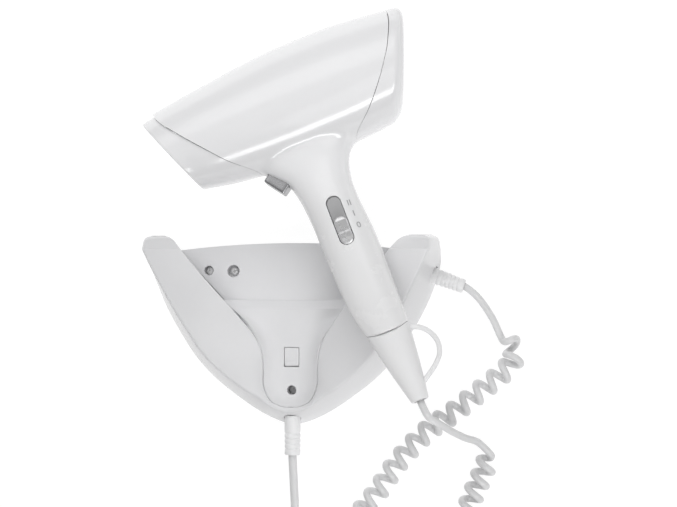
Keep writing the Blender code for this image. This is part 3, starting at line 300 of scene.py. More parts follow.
def tube_along(name: str, path: np.ndarray, radius: float, sides: int = 12) -> bpy.types.Object:
    """A round tube with filled ends along a path in mm, made from a curve."""
    curve = bpy.data.curves.new(name, "CURVE")
    curve.dimensions = "3D"
    curve.bevel_depth = radius * MM
    curve.bevel_resolution = sides // 2 - 2
    curve.use_fill_caps = True
    spline = curve.splines.new("POLY")
    spline.points.add(len(path) - 1)
    spline.points.foreach_set("co", np.column_stack([path * MM, np.ones(len(path))]).ravel())
    thing = bpy.data.objects.new(name, curve)
    bpy.context.scene.collection.objects.link(thing)
    choose(thing)
    bpy.ops.object.convert(target="MESH")
    return tidy(bpy.context.object)


def rounded_box(name: str, size: tuple, bevel: float, steps: int = 4) -> bpy.types.Object:
    """A box about the middle with rounded edges, in mm."""
    clear_selection()
    bpy.ops.mesh.primitive_cube_add(size=1.0)
    thing = bpy.context.object
    thing.name = name
    bpy.ops.transform.resize(value=[s * MM for s in size])
    bpy.ops.object.transform_apply(location=True, rotation=True, scale=True)
    return apply_modifier(thing, "BEVEL", width=bevel * MM, segments=steps, limit_method="ANGLE")


def put_points(thing: bpy.types.Object, place: Callable[[np.ndarray], np.ndarray]) -> bpy.types.Object:
    """Moves every vertex by a rule that takes and gives millimetres."""
    flat = np.empty(len(thing.data.vertices) * 3)
    thing.data.vertices.foreach_get("co", flat)
    moved = place(flat.reshape(-1, 3) / MM) * MM
    thing.data.vertices.foreach_set("co", moved.ravel())
    thing.data.update()
    return thing


def node_box(name: str) -> tuple[np.ndarray, np.ndarray]:
    """Low and high corner of a carried-over node, in mm."""
    low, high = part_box(name)
    return np.array(low) / MM, np.array(high) / MM


def points_of(thing: bpy.types.Object) -> np.ndarray:
    """All vertices in mm."""
    flat = np.empty(len(thing.data.vertices) * 3)
    thing.data.vertices.foreach_get("co", flat)
    return flat.reshape(-1, 3) / MM


# --- finishes -------------------------------------------------------------------------------------
def new_group(name: str, inputs: dict[str, float], outputs: tuple[str, ...]) -> bpy.types.NodeTree:
    """An empty shader group.

    Args:
        name: the group's name.
        inputs: number inputs and their defaults; a Vector input is always there.
        outputs: number outputs.

    Returns:
        The group with its input and output nodes.
    """
    group = bpy.data.node_groups.new(name, "ShaderNodeTree")
    group.interface.new_socket("Vector", in_out="INPUT", socket_type="NodeSocketVector")
    for label, value in inputs.items():
        socket = group.interface.new_socket(label, in_out="INPUT", socket_type="NodeSocketFloat")
        socket.default_value = value
    for label in outputs:
        group.interface.new_socket(label, in_out="OUTPUT", socket_type="NodeSocketFloat")
    group.nodes.new("NodeGroupInput").name = "in"
    group.nodes.new("NodeGroupOutput").name = "out"
    return group


def math_node(tree: bpy.types.NodeTree, what: str, first: object, second: object) -> bpy.types.NodeSocket:
    """A math node; each operand is a socket or a number."""
    node = tree.nodes.new("ShaderNodeMath")
    node.operation = what
    for socket, value in zip(node.inputs, (first, second)):
        if isinstance(value, bpy.types.NodeSocket):
            tree.links.new(value, socket)
        else:
            socket.default_value = value
    return node.outputs[0]


def noise_node(
    tree: bpy.types.NodeTree, vector: object, scale: object, detail: float
) -> bpy.types.NodeSocket:
    """A noise texture; scale is a socket or a number."""
    node = tree.nodes.new("ShaderNodeTexNoise")
    node.inputs["Detail"].default_value = detail
    tree.links.new(vector, node.inputs["Vector"])
    if isinstance(scale, bpy.types.NodeSocket):
        tree.links.new(scale, node.inputs["Scale"])
    else:
        node.inputs["Scale"].default_value = scale
    return node.outputs["Fac"]


def make_grain_group() -> bpy.types.NodeTree:
    """Fine moulded grain: a height, a slight change of tone and of roughness over the surface."""
    group = new_group("moulded_grain", {"Grain": 2500.0, "Cloud": 28.0}, ("Height", "Tone", "Rough"))
    source = group.nodes["in"].outputs
    fine = noise_node(group, source["Vector"], source["Grain"], 3.0)
    cloud = noise_node(group, source["Vector"], source["Cloud"], 2.0)
    speck = noise_node(group, source["Vector"], 310.0, 2.0)
    height = math_node(group, "ADD", fine, math_node(group, "MULTIPLY", speck, 0.6))
    broad_part = math_node(group, "MULTIPLY", cloud, 0.7)
    tone = math_node(group, "ADD", broad_part, math_node(group, "MULTIPLY", speck, 0.3))
    mixed = math_node(group, "ADD", cloud, math_node(group, "MULTIPLY", fine, 0.4))
    rough = math_node(group, "SUBTRACT", mixed, 0.7)
    target = group.nodes["out"].inputs
    group.links.new(height, target["Height"])
    group.links.new(tone, target["Tone"])
    group.links.new(rough, target["Rough"])
    return group


def make_wear_group() -> bpy.types.NodeTree:
    """Faint handling haze: a mask of soft patches with finer breaks in it."""
    group = new_group("handling_haze", {"Patch": 60.0}, ("Mask",))
    source = group.nodes["in"].outputs
    broad = noise_node(group, source["Vector"], source["Patch"], 4.0)
    breaks = noise_node(group, source["Vector"], 700.0, 2.0)
    sharp = math_node(group, "MULTIPLY", math_node(group, "SUBTRACT", broad, 0.52), 5.0)
    mask = math_node(group, "MULTIPLY", math_node(group, "MAXIMUM", sharp, 0.0), breaks)
    group.links.new(math_node(group, "MINIMUM", mask, 1.0), group.nodes["out"].inputs["Mask"])
    return group


GRAIN = make_grain_group()
HAZE = make_wear_group()


@dataclass(frozen=True)
class Finish:
    """A surface finish with its own grain and haze."""

    name: str
    colour: tuple[float, float, float]
    roughness: float
    metallic: float = 0.0
    coat: float = 0.0
    coat_roughness: float = 0.08
    grain: float = 2500.0
    bump: float = 0.04
    bump_mm: float = 0.02
    tone: float = 0.03
    uneven: float = 0.05
    satin_roughness: float | None = None
    satin_colour: tuple[float, float, float] | None = None
    glow: float = 0.0

    def build(self) -> bpy.types.Material:
        """The finish as a Blender material.

        Returns:
            A material whose grain, tone and roughness change over the surface.
        """
        material = bpy.data.materials.new(self.name)
        material.use_nodes = True
        tree = material.node_tree
        shader = tree.nodes["Principled BSDF"]
        shader.inputs["Metallic"].default_value = self.metallic
        shader.inputs["Coat Weight"].default_value = self.coat
        shader.inputs["Coat Roughness"].default_value = self.coat_roughness
        shader.inputs["Emission Color"].default_value = (1.0, 1.0, 1.0, 1.0)
        shader.inputs["Emission Strength"].default_value = self.glow
        place = tree.nodes.new("ShaderNodeTexCoord").outputs["Object"]
        grain = self._group(tree, GRAIN, place)
        grain.inputs["Grain"].default_value = self.grain
        haze = self._group(tree, HAZE, place)
        tree.links.new(self._colour(tree, grain.outputs["Tone"]), shader.inputs["Base Color"])
        rough = self._roughness(tree)
        for mask, share in ((grain.outputs["Rough"], self.uneven), (haze.outputs["Mask"], self.uneven * 1.5)):
            rough = math_node(tree, "ADD", rough, math_node(tree, "MULTIPLY", mask, share))
        tree.links.new(math_node(tree, "MAXIMUM", rough, 0.04), shader.inputs["Roughness"])
        bump = tree.nodes.new("ShaderNodeBump")
        bump.inputs["Strength"].default_value = self.bump
        bump.inputs["Distance"].default_value = self.bump_mm * MM
        tree.links.new(grain.outputs["Height"], bump.inputs["Height"])
        tree.links.new(bump.outputs["Normal"], shader.inputs["Normal"])
        return material

    def _group(self, tree: bpy.types.NodeTree, group: bpy.types.NodeTree, place: object) -> bpy.types.Node:
        """Places a shared group and gives it the surface's own coordinates."""
        node = tree.nodes.new("ShaderNodeGroup")
        node.node_tree = group
        tree.links.new(place, node.inputs["Vector"])
        return node

    def _satin(self, tree: bpy.types.NodeTree) -> bpy.types.NodeSocket:
        """The share of satin painted on the piece's vertices."""
        share = tree.nodes.new("ShaderNodeAttribute")
        share.attribute_name = "satin"
        return share.outputs["Fac"]

    def _colour(self, tree: bpy.types.NodeTree, tone: object) -> bpy.types.NodeSocket:
        """The colour with its slight change of tone.

        Args:
            tree: the material's nodes.
            tone: the mask that darkens it.

        Returns:
            The colour socket.
        """
        mix = tree.nodes.new("ShaderNodeMix")
        mix.data_type = "RGBA"
        tree.links.new(tone, mix.inputs["Factor"])
        mix.inputs["A"].default_value = (*[c * (1 + self.tone) for c in self.colour], 1.0)
        mix.inputs["B"].default_value = (*[c * (1 - self.tone) for c in self.colour], 1.0)
        if self.satin_colour is None:
            return mix.outputs["Result"]
        zone = tree.nodes.new("ShaderNodeMix")
        zone.data_type = "RGBA"
        tree.links.new(self._satin(tree), zone.inputs["Factor"])
        tree.links.new(mix.outputs["Result"], zone.inputs["A"])
        zone.inputs["B"].default_value = (*self.satin_colour, 1.0)
        return zone.outputs["Result"]

    def _roughness(self, tree: bpy.types.NodeTree) -> object:
        """The plain roughness, or its change from the glossy to the satin zone."""
        if self.satin_roughness is None:
            return self.roughness
        gain = math_node(tree, "MULTIPLY", self._satin(tree), self.satin_roughness - self.roughness)
        return math_node(tree, "ADD", gain, self.roughness)


class Look(Enum):
    """The finishes of this dryer and its holder."""

    HEAD = Finish("glossy_white_casing", (0.80, 0.80, 0.81), 0.17, coat=0.35, bump=0.02, satin_roughness=0.26,
                  satin_colour=(0.76, 0.76, 0.765))
    NOZZLE = Finish("glossy_white_nozzle", (0.78, 0.78, 0.79), 0.18, coat=0.35, bump=0.02)
    TAIL = Finish("satin_white_tail", (0.76, 0.76, 0.765), 0.38, bump=0.05)
    HOLDER = Finish("glossy_holder_cover", (0.69, 0.69, 0.70), 0.20, coat=0.12, bump=0.02)
    SEAT = Finish("satin_seat", (0.69, 0.69, 0.70), 0.42, bump=0.08, bump_mm=0.03)
    SILVER = Finish("silver_knob", (0.84, 0.84, 0.85), 0.27, metallic=0.7, bump=0.0)
    DARK_SILVER = Finish("silver_key", (0.40, 0.40, 0.41), 0.24, metallic=0.8, bump=0.0)
    TRACK = Finish("grey_switch_track", (0.36, 0.36, 0.365), 0.45, bump=0.06)
    GREY = Finish("grey_inner_plastic", (0.38, 0.38, 0.40), 0.5, bump=0.08)
    GRILLE = Finish("grey_grille", (0.55, 0.55, 0.56), 0.4, bump=0.05)
    BLACK = Finish("black_inner_plastic", (0.03, 0.03, 0.03), 0.5, bump=0.1)
    STEEL = Finish("plated_steel", (0.50, 0.50, 0.50), 0.28, metallic=1.0, grain=4000.0, bump=0.05,
                   uneven=0.12)
    PIN = Finish("nickel_pins", (0.70, 0.69, 0.66), 0.16, metallic=1.0, uneven=0.08)
    MICA = Finish("mica_sheet", (0.55, 0.46, 0.33), 0.55, grain=900.0, bump=0.2, tone=0.15)
    WIRE = Finish("resistance_wire", (0.55, 0.43, 0.33), 0.4, metallic=1.0, tone=0.1)
    BOARD = Finish("green_board", (0.05, 0.25, 0.10), 0.4, tone=0.1)
    CORD = Finish("soft_cord_sheath", (0.66, 0.66, 0.665), 0.40, grain=1800.0, bump=0.10, bump_mm=0.03)
    GLAND = Finish("cord_gland", (0.80, 0.80, 0.805), 0.38, bump=0.08)
    INK = Finish("grey_marks", (0.36, 0.36, 0.37), 0.5)
    SCREW = Finish("bright_screw_heads", (0.82, 0.82, 0.82), 0.34, metallic=0.5, bump=0.0)
    FLOOR = Finish("pale_paper", (0.12, 0.12, 0.12), 0.9, grain=500.0, bump=0.02, tone=0.004, glow=0.92)

    def material(self) -> bpy.types.Material:
        """The finish's one material, built when first asked for."""
        return bpy.data.materials.get(self.value.name) or self.value.build()


def dress(thing: bpy.types.Object, look: Look, angle: float = 35.0, smooth: bool = True) -> bpy.types.Object:
    """Gives a new piece its finish and shading.

    Args:
        thing: the piece.
        look: its finish.
        angle: edges sharper than this stay sharp, in degrees.
        smooth: shade smooth.

    Returns:
        The piece.
    """
    thing.data.materials.clear()
    thing.data.materials.append(look.material())
    if smooth:
        choose(thing)
        bpy.ops.object.shade_smooth_by_angle(angle=math.radians(angle))
    return thing


def dress_nodes(look: Look, *names: str) -> None:
    """Gives carried-over nodes a finish; their meshes stay as they are."""
    for name in names:
        node = frame["nodes"][name]
        node.data.materials.clear()
        node.data.materials.append(look.material())


def settle(thing: bpy.types.Object, body: str, slot: str, *nodes: str) -> bpy.types.Object:
    """A piece rides its body and stands for its nodes."""
    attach(thing, body)
    if nodes:
        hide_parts(*nodes)
    LOG.info("%s: %d faces on %s", thing.name, len(thing.data.polygons), body)
    return thing


# --- handset ----------------------------------------------------------------------------------------
@dataclass
class Handset:
    """The dryer itself: head with nozzle and rear cover, grip, tail and controls.  Sizes in mm."""

    axes: HandsetFrame
    # u / radius of the head's surface
    casing_radius: SmoothCurve = SmoothCurve(
        ((-110, 31.0), (-86, 34.2), (-62, 36.7), (-38, 39.2), (-7, 41.0), (23, 40.8), (52, 38.3), (90, 33.6))
    )
    nozzle_radius: SmoothCurve = SmoothCurve(
        ((-125, 26.8), (-116, 27.9), (-108, 29.1), (-93, 30.8), (-80, 33.5), (-66, 36.0), (-40, 39.0))
    )
    # v / u of the seams round the head
    front_seam: SmoothCurve = SmoothCurve(
        ((-42, -45.0), (-39.0, -49.1), (-27.0, -66.0), (-16.2, -76.1), (0.5, -89.7), (20.7, -103.1),
         (34, -106.8))
    )
    rear_seam: SmoothCurve = SmoothCurve(
        ((-42, 18.0), (-32.0, 35.3), (-22.0, 46.5), (-9.0, 57.4), (4.0, 65.4), (23.0, 71.9), (38, 73.0))
    )
    # each row: v / front edge u / rear edge u / half thickness
    grip_rows: tuple = (
        (-20, -49.0, 30.0, 24.0), (-27, -49.0, 30.0, 23.0), (-33, -50.0, 30.0, 21.2),
        (-39, -48.8, 23.2, 19.4), (-43, -45.2, 16.2, 18.6), (-48, -40.4, 11.9, 18.0),
        (-55, -34.8, 8.9, 17.6), (-61, -33.1, 7.6, 17.4), (-69, -31.4, 6.5, 17.3),
        (-79, -30.4, 6.7, 17.3), (-93, -29.6, 7.8, 17.5), (-107, -29.5, 8.7, 17.6),
        (-122, -28.9, 8.8, 17.5), (-146, -27.7, 8.2, 17.0), (-160, -25.9, 7.9, 16.4),
        (-172, -22.4, 7.6, 15.4),
    )
    side_share: float = 0.96
    grip_square: float = 2.3
    wall: float = 2.2
    nozzle_wall: float = 2.0
    gap: float = 0.35
    mouth: tuple[float, float] = (-105.1, -0.401)
    rear_face: tuple[float, float] = (66.9, 0.386)
    rear_lean: float = 0.16
    rear_dome: float = 3.5
    shoulder: tuple[float, float] = (5.0, 12.0)
    tail_seam: float = -172.0
    tail_sag: float = 5.0
    tail_end: float = -224.3
    tail_end_u: float = -4.3
    tail_end_radius: float = 6.1
    cord_radius: float = 2.5
    slot_u: float = -9.5
    slot_top: float = -81.0
    slot_bottom: float = -106.4
    slot_radius: float = 5.25
    slider_length: float = 21.2
    track_w: float = 15.6
    button_at: tuple[float, float] = (-45.2, -51.5)
    button_out: tuple[float, float] = (-0.82, -0.572)
    button_size: tuple[float, float, float] = (16.8, 12.0, 12.0)
    loop_radius: float = 1.75
    loop_path: tuple = (
        (6.6, -175.6, 0.0), (8.4, -176.4, 0.0), (14.0, -179.4, 0.0), (18.8, -185.0, 0.0),
        (20.9, -192.0, 0.0), (19.6, -199.3, 0.0), (15.2, -204.9, 0.0), (9.0, -209.6, 0.0),
        (4.2, -212.6, 0.0), (1.8, -214.2, 0.0),
    )
    rear_radius: float = 34.4
    slot_pitch: float = 4.1
    # each row: piece / mark / u / v of its middle
    mark_places: tuple = (
        ("mark_two", "II", 0.3, -84.2), ("mark_one", "I", 0.8, -92.4), ("mark_off", "0", 1.1, -101.1),
    )
    mark_size: float = 5.8
    # each row: distance up the knob from the middle of its lower end / height of its relief
    knob_relief: tuple = (
        (-4.7, 0.2), (-2.5, 0.9), (0.0, 1.0), (3.0, 1.7), (3.8, 1.7), (4.1, 0.5), (5.0, 0.5),
        (5.3, 1.0), (6.2, 1.1), (9.0, 1.5), (12.0, 2.1), (14.0, 1.9), (16.0, 0.6),
    )
    seam_span: tuple[float, float] = (-42.0, 50.0)
    cut_reach: float = 60.0
    satin_from: float = -50.0
    satin_over: float = 45.0
    junction_reach: float = 5.0
    voxel: float = 1.3

    # surfaces
    def head_ring(
        self, limit: Callable, table: SmoothCurve, shrink: float = 0.0, sides: int = 160, lean: float = 0.0
    ) -> np.ndarray:
        """The ring where the surface u = limit(v) + lean * w meets the head.

        Args:
            limit: u as a function of v.
            table: the head's radius along u.
            shrink: how far inside the surface the ring lies.
            sides: points round it.
            lean: change of u per w.

        Returns:
            The ring in handset coordinates.
        """
        turn = 2 * math.pi * np.arange(sides) / sides
        u = limit(np.zeros(sides))
        for _ in range(60):
            radius = table.at(u) - shrink
            tilt = lean * radius * self.side_share * np.cos(turn)
            u = 0.5 * u + 0.5 * (limit(radius * np.sin(turn)) + tilt)
        return self.head_points(u, turn, table, shrink)

    def head_points(
        self, u: np.ndarray, turn: np.ndarray, table: SmoothCurve, shrink: float = 0.0
    ) -> np.ndarray:
        """Points of the head at stations u and angles turn."""
        radius = table.at(u)
        return np.column_stack(
            [u, (radius - shrink) * np.sin(turn), (radius * self.side_share - shrink) * np.cos(turn)]
        )

    def between(
        self, first: np.ndarray, last: np.ndarray, share: float, table: SmoothCurve, shrink: float = 0.0
    ) -> np.ndarray:
        """A ring on the head part of the way from one seam ring to another."""
        turn = 2 * math.pi * np.arange(len(first)) / len(first)
        return self.head_points(first[:, 0] * (1 - share) + last[:, 0] * share, turn, table, shrink)

    def grip_curve(self, column: int) -> SmoothCurve:
        """One column of the grip's rows as a curve over v."""
        return SmoothCurve(tuple((row[0], row[column]) for row in self.grip_rows))

    def grip_size(self, v: float) -> tuple[float, float, float]:
        """Front edge, rear edge and half thickness of the grip at a height."""
        return tuple(float(self.grip_curve(k).at(np.array([v]))[0]) for k in (1, 2, 3))

    def grip_ring(self, v: float, shrink: float = 0.0, sag: float = 0.0, sides: int = 128) -> np.ndarray:
        """One section of the grip; sag bends it down on the flanks."""
        front, rear, half = self.grip_size(v)
        turn = 2 * math.pi * np.arange(sides) / sides
        power = 2 / self.grip_square
        c, s = np.cos(turn), np.sin(turn)
        u = (front + rear) / 2 + ((rear - front) / 2 - shrink) * np.sign(c) * np.abs(c) ** power
        w = (half - shrink) * np.sign(s) * np.abs(s) ** power
        return np.column_stack([u, v - sag * (w / half) ** 2, w])

    def grip_face(self, u: float, v: float) -> float:
        """Height w of the grip's visible side over a point."""
        front, rear, half = self.grip_size(v)
        across = abs(u - (front + rear) / 2) / ((rear - front) / 2)
        return half * max(0.0, 1 - across**self.grip_square) ** (1 / self.grip_square)

    def stadium(self, grow: float, top: float, bottom: float, steps: int = 28) -> np.ndarray:
        """Rounded slot outline, long in v."""
        turn = math.pi * np.arange(steps + 1) / steps
        radius = self.slot_radius + grow
        upper = np.column_stack([self.slot_u + radius * np.cos(turn), top + radius * np.sin(turn)])
        lower = np.column_stack([self.slot_u - radius * np.cos(turn), bottom - radius * np.sin(turn)])
        return np.vstack([upper, lower])

    # pieces
    def placed(self, name: str, rings: Rings, along: bool = False) -> bpy.types.Object:
        """A skin from rings in handset coordinates."""
        return skin(name, [self.axes.place(ring) for ring in rings], along=along)

    def prism(self, outline: np.ndarray, low: float, high: float) -> bpy.types.Object:
        """A solid over an outline in u and v between two w levels."""
        rings = [np.column_stack([outline, np.full(len(outline), w)]) for w in (low, high)]
        return self.placed("tool", closed(rings))

    def casing(self) -> bpy.types.Object:
        """The head's middle and the grip as one smooth skin, trimmed at its seams and hollow inside."""
        first = self.head_ring(lambda v: self.front_seam.at(v) - 4.0, self.casing_radius)
        last = self.head_ring(lambda v: self.rear_seam.at(v) + 4.0, self.casing_radius)
        rings = [self.between(first, last, s, self.casing_radius) for s in np.linspace(0, 1, 48)]
        body = self.placed("handset_casing", closed(rings))
        heights = [*np.linspace(-20, -61, 42), *np.linspace(-63, self.tail_seam - 4, 50)]
        cut(body, self.placed("tool", closed([self.grip_ring(v) for v in heights])), "UNION")
        apply_modifier(body, "REMESH", mode="VOXEL", voxel_size=self.voxel * MM)
        self.soften(body)
        self.trim_seams(body)
        bore = [
            self.head_ring(lambda v, u=u: v * 0 + u, self.casing_radius, self.wall, 96)
            for u in np.linspace(-125, 95, 23)
        ]
        cut(body, self.placed("tool", closed(bore)))
        hollow = [self.grip_ring(v, self.wall, sides=64) for v in np.linspace(-18, self.tail_seam - 8, 40)]
        cut(body, self.placed("tool", closed(hollow)))
        cut(body, self.prism(self.stadium(0.0, self.slot_top, self.slot_bottom), 8.0, 30.0))
        cut(body, self.button_block(1.0, -14.0, 12.0))
        self.paint_satin(body)
        dress(body, Look.HEAD, 40.0)
        return settle(body, "handset", "handset_gloss", "casing_left", "casing_right")

    def trim_seams(self, body: bpy.types.Object) -> None:
        """Cuts the skin back at the nozzle's, the rear cover's and the tail's seam."""
        low, high = self.seam_span
        for seam, gap, far_u, heights in (
            (self.front_seam, self.gap, -170.0, (low, *np.linspace(low + 1, high, 60))),
            (self.rear_seam, -self.gap, 150.0, np.linspace(low, high, 60)),
        ):
            line = [(float(seam.at(v)) + gap, v) for v in heights]
            outline = np.array([*line, (far_u, high), (far_u, low)])
            cut(body, self.prism(outline, -self.cut_reach, self.cut_reach))
        half = self.grip_size(self.tail_seam)[2]
        wide, far_v = 22.0, -200.0
        flank = [(self.tail_seam - self.tail_sag * (w / half) ** 2, w) for w in np.linspace(-wide, wide, 45)]
        outline = np.array([*flank, (far_v, wide), (far_v, -wide)])
        ends = (-self.cut_reach, self.cut_reach)
        rings = [np.column_stack([np.full(len(outline), u), outline]) for u in ends]
        cut(body, self.placed("tool", closed(rings)))

    def soften(self, body: bpy.types.Object) -> None:
        """Smooths the remeshed skin a little all over and more where the grip flows into the head."""
        u, v, w = self.axes.local(points_of(body)).T
        head = np.abs(np.hypot(v, w / self.side_share) - self.casing_radius.at(u))
        front, rear, half = (self.grip_curve(k).at(v) for k in (1, 2, 3))
        across = (np.abs(u - (front + rear) / 2) / ((rear - front) / 2)) ** self.grip_square
        size = (across + np.abs(w / half) ** self.grip_square) ** (1 / self.grip_square)
        near = np.exp(-(head**2 + (np.abs(size - 1) * half) ** 2) / self.junction_reach**2)
        near = np.where(v > self.grip_rows[0][0], 0.0, near)
        group = body.vertex_groups.new(name="junction")
        for index in np.nonzero(near > 0.05)[0]:
            group.add([int(index)], float(near[index]), "REPLACE")
        apply_modifier(body, "SMOOTH", factor=0.5, iterations=30, vertex_group="junction")
        apply_modifier(body, "SMOOTH", factor=0.5, iterations=8)

    def paint_satin(self, body: bpy.types.Object) -> None:
        """Stores how satin each vertex is: the grip is, the head isn't."""
        v = self.axes.local(points_of(body))[:, 1]
        share = np.clip((self.satin_from - v) / self.satin_over, 0, 1)
        attribute = body.data.attributes.new("satin", "FLOAT", "POINT")
        attribute.data.foreach_set("value", (share * share * (3 - 2 * share)).astype(np.float32))

    def lip(self, limit: Callable, table: SmoothCurve, wall: float, steps: int = 8) -> Rings:
        """Rings of a rounded lip that turns from the outside to the inside of a wall."""
        rings = []
        for turn in np.linspace(0, math.pi, steps + 1):
            back = wall / 2 * (1 - math.sin(turn))
            inset = wall / 2 * (1 - math.cos(turn))
            rings.append(self.head_ring(lambda v, b=back: limit(v) + b, table, inset))
        return rings

    def mouth_plane(self, v: np.ndarray) -> np.ndarray:
        """u of the mouth's plane at height v."""
        return self.mouth[0] + self.mouth[1] * v

    def nozzle(self) -> bpy.types.Object:
        """The nozzle sleeve with a rounded mouth."""
        table, wall = self.nozzle_radius, self.nozzle_wall
        walls = []
        for shrink, shares in ((0.0, np.linspace(1, 0.03, 30)), (wall, np.linspace(0.03, 1, 14))):
            first = self.head_ring(lambda v: self.mouth_plane(v) + wall / 2, table, shrink)
            last = self.head_ring(self.front_seam.at, table, shrink)
            walls.append([self.between(first, last, s, table, shrink) for s in shares])
        shape = walls[0] + self.lip(self.mouth_plane, table, wall) + walls[1]
        piece = self.placed("nozzle_sleeve", shape, along=True)
        dress(piece, Look.NOZZLE, 40.0)
        return settle(piece, "handset", "handset_gloss", "nozzle")

    def rear_plane(self, v: np.ndarray) -> np.ndarray:
        """u of the rear plane at height v."""
        return self.rear_face[0] + self.rear_face[1] * v

    def rear_ring(self, rise: float, shrink: float, sides: int = 160) -> np.ndarray:
        """A ring beside the rear plane: rise beyond it and shrink inside the head's surface."""
        return self.head_ring(
            lambda v: self.rear_plane(v) + rise, self.casing_radius, shrink, sides, self.rear_lean
        )

    def rear(self) -> list[bpy.types.Object]:
        """The rear cover with its rounded edge and domed rim, and the slotted grille in it."""
        table = self.casing_radius
        start_u = -self.shoulder[0]
        first = self.head_ring(lambda v: self.rear_seam.at(v) + self.gap / 2, table)
        edge = self.rear_ring(start_u, 0.0)
        rings = [self.between(first, edge, s, table) for s in np.linspace(0, 1, 22)]
        tall, deep = self.shoulder[0] + self.rear_dome, self.shoulder[1]
        for turn in np.linspace(0.06, 1, 18) * math.pi / 2:
            rise = tall * math.sin(turn) ** 0.9
            rings.append(self.rear_ring(start_u + rise, deep * (1 - math.cos(turn) ** 0.9)))
        for rise, inset in ((-0.2, 0.5), (-0.8, 0.8), (-4.2, 0.8), (-4.2, -1.0), (-2.6, -3.4)):
            rings.append(self.rear_ring(self.rear_dome + rise, deep + inset))
        rings.append(self.rear_ring(-1.6, 0.5 * deep))
        back = self.rear_ring(start_u - 0.6, self.wall)
        start = self.head_ring(lambda v: self.rear_seam.at(v) + self.gap / 2, table, self.wall)
        rings += [self.between(start, back, s, table, self.wall) for s in np.linspace(1, 0, 8)]
        cover = self.placed("rear_hood", rings, along=True)
        dress(cover, Look.NOZZLE, 40.0)
        settle(cover, "handset", "handset_gloss", "rear_cover")
        return [cover, self.rear_mesh()]

    def rear_mesh(self) -> bpy.types.Object:
        """The domed intake grille with slots across it."""
        edge = self.shoulder[1] + 1.2
        thick = 2.2
        sheet = []
        radius = self.rear_radius - edge
        for level in (0.0, -thick):
            rows = []
            for share in np.linspace(1, 0.02, 16):
                rise = self.rear_dome - 2.6 + 1.8 * (1 - share**2) + level
                rows.append(self.rear_ring(rise, edge + radius * (1 - share), 96))
            sheet.append(rows)
        middles = [rows[-1].mean(axis=0) + 0 * rows[-1] for rows in sheet]
        grille = self.placed("intake_grille", sheet[0] + middles + sheet[1][::-1], along=True)
        for k in range(-4, 5):
            v = k * self.slot_pitch
            reach = math.sqrt((radius - thick) ** 2 - v * v)
            turn = math.pi * np.arange(13) / 12
            end = 1.15
            right = np.column_stack([reach - end + end * np.sin(turn), v + end * np.cos(turn)])
            outline = np.vstack([right, np.column_stack([-right[:, 0], 2 * v - right[:, 1]])])
            u = float(self.rear_plane(np.array(v)))
            rings = [
                np.column_stack([np.full(len(outline), x), outline[:, 1], outline[:, 0]])
                for x in (u - 8, u + 16)
            ]
            cut(grille, self.placed("tool", closed(rings)))
        dress(grille, Look.GRILLE, 30.0)
        return settle(grille, "handset", "grey_trim", "rear_grille")

    def tail_ring(self, share: float, shrink: float, sides: int = 96) -> np.ndarray:
        """Section of the tail cone from its seam (0) to the cord's end (1)."""
        seam = self.grip_ring(self.tail_seam, shrink, self.tail_sag, sides)
        seam[:, 1] -= self.gap
        turn = 2 * math.pi * np.arange(sides) / sides
        radius = self.tail_end_radius - min(shrink, self.tail_end_radius - self.cord_radius - 0.3)
        tip = np.column_stack(
            [self.tail_end_u + radius * np.cos(turn), np.full(sides, self.tail_end), radius * np.sin(turn)]
        )
        swell = 0.5 * math.sin(math.pi * share)
        ring = seam * (1 - share) + tip * share
        centre = ring.mean(axis=0)
        away = ring - centre
        return ring + away / np.linalg.norm(away, axis=1)[:, None] * swell

    def tail(self) -> list[bpy.types.Object]:
        """The tail cone with a rounded end, and the hanging loop at its side."""
        outer = [self.tail_ring(s, 0.0) for s in np.linspace(0, 0.985, 26)]
        end = [self.tail_ring(1.0, x) for x in (0.2, 0.7, 1.6)]
        for ring, drop in zip(end, (0.3, 0.5, 0.5)):
            ring[:, 1] -= drop
        inner = [self.tail_ring(s, self.wall) for s in np.linspace(0.99, 0, 8)]
        cone = self.placed("tail_sleeve", outer + end + inner, along=True)
        dress(cone, Look.TAIL, 40.0)
        settle(cone, "handset", "handset_satin", "tail_cone")
        path = smooth_path(list(self.loop_path), 8)
        loop = tube_along("cord_loop", self.axes.place(path), self.loop_radius, 16)
        dress(loop, Look.TAIL, 60.0)
        settle(loop, "handset", "handset_satin", "hanging_loop")
        return [cone, loop]

    def switch_track(self) -> bpy.types.Object:
        """The recessed track that the slide knob runs on."""
        rings = []
        top = self.track_w
        for grow, w in ((2.0, 11.2), (2.0, 12.7), (-0.3, 12.7), (-0.3, top - 0.35), (-0.65, top)):
            outline = self.stadium(grow, self.slot_top, self.slot_bottom)
            rings.append(np.column_stack([outline, np.full(len(outline), w)]))
        track = self.placed("switch_bed", closed(rings))
        dress(track, Look.TRACK, 30.0)
        return settle(track, "handset", "grey_trim", "switch_track")

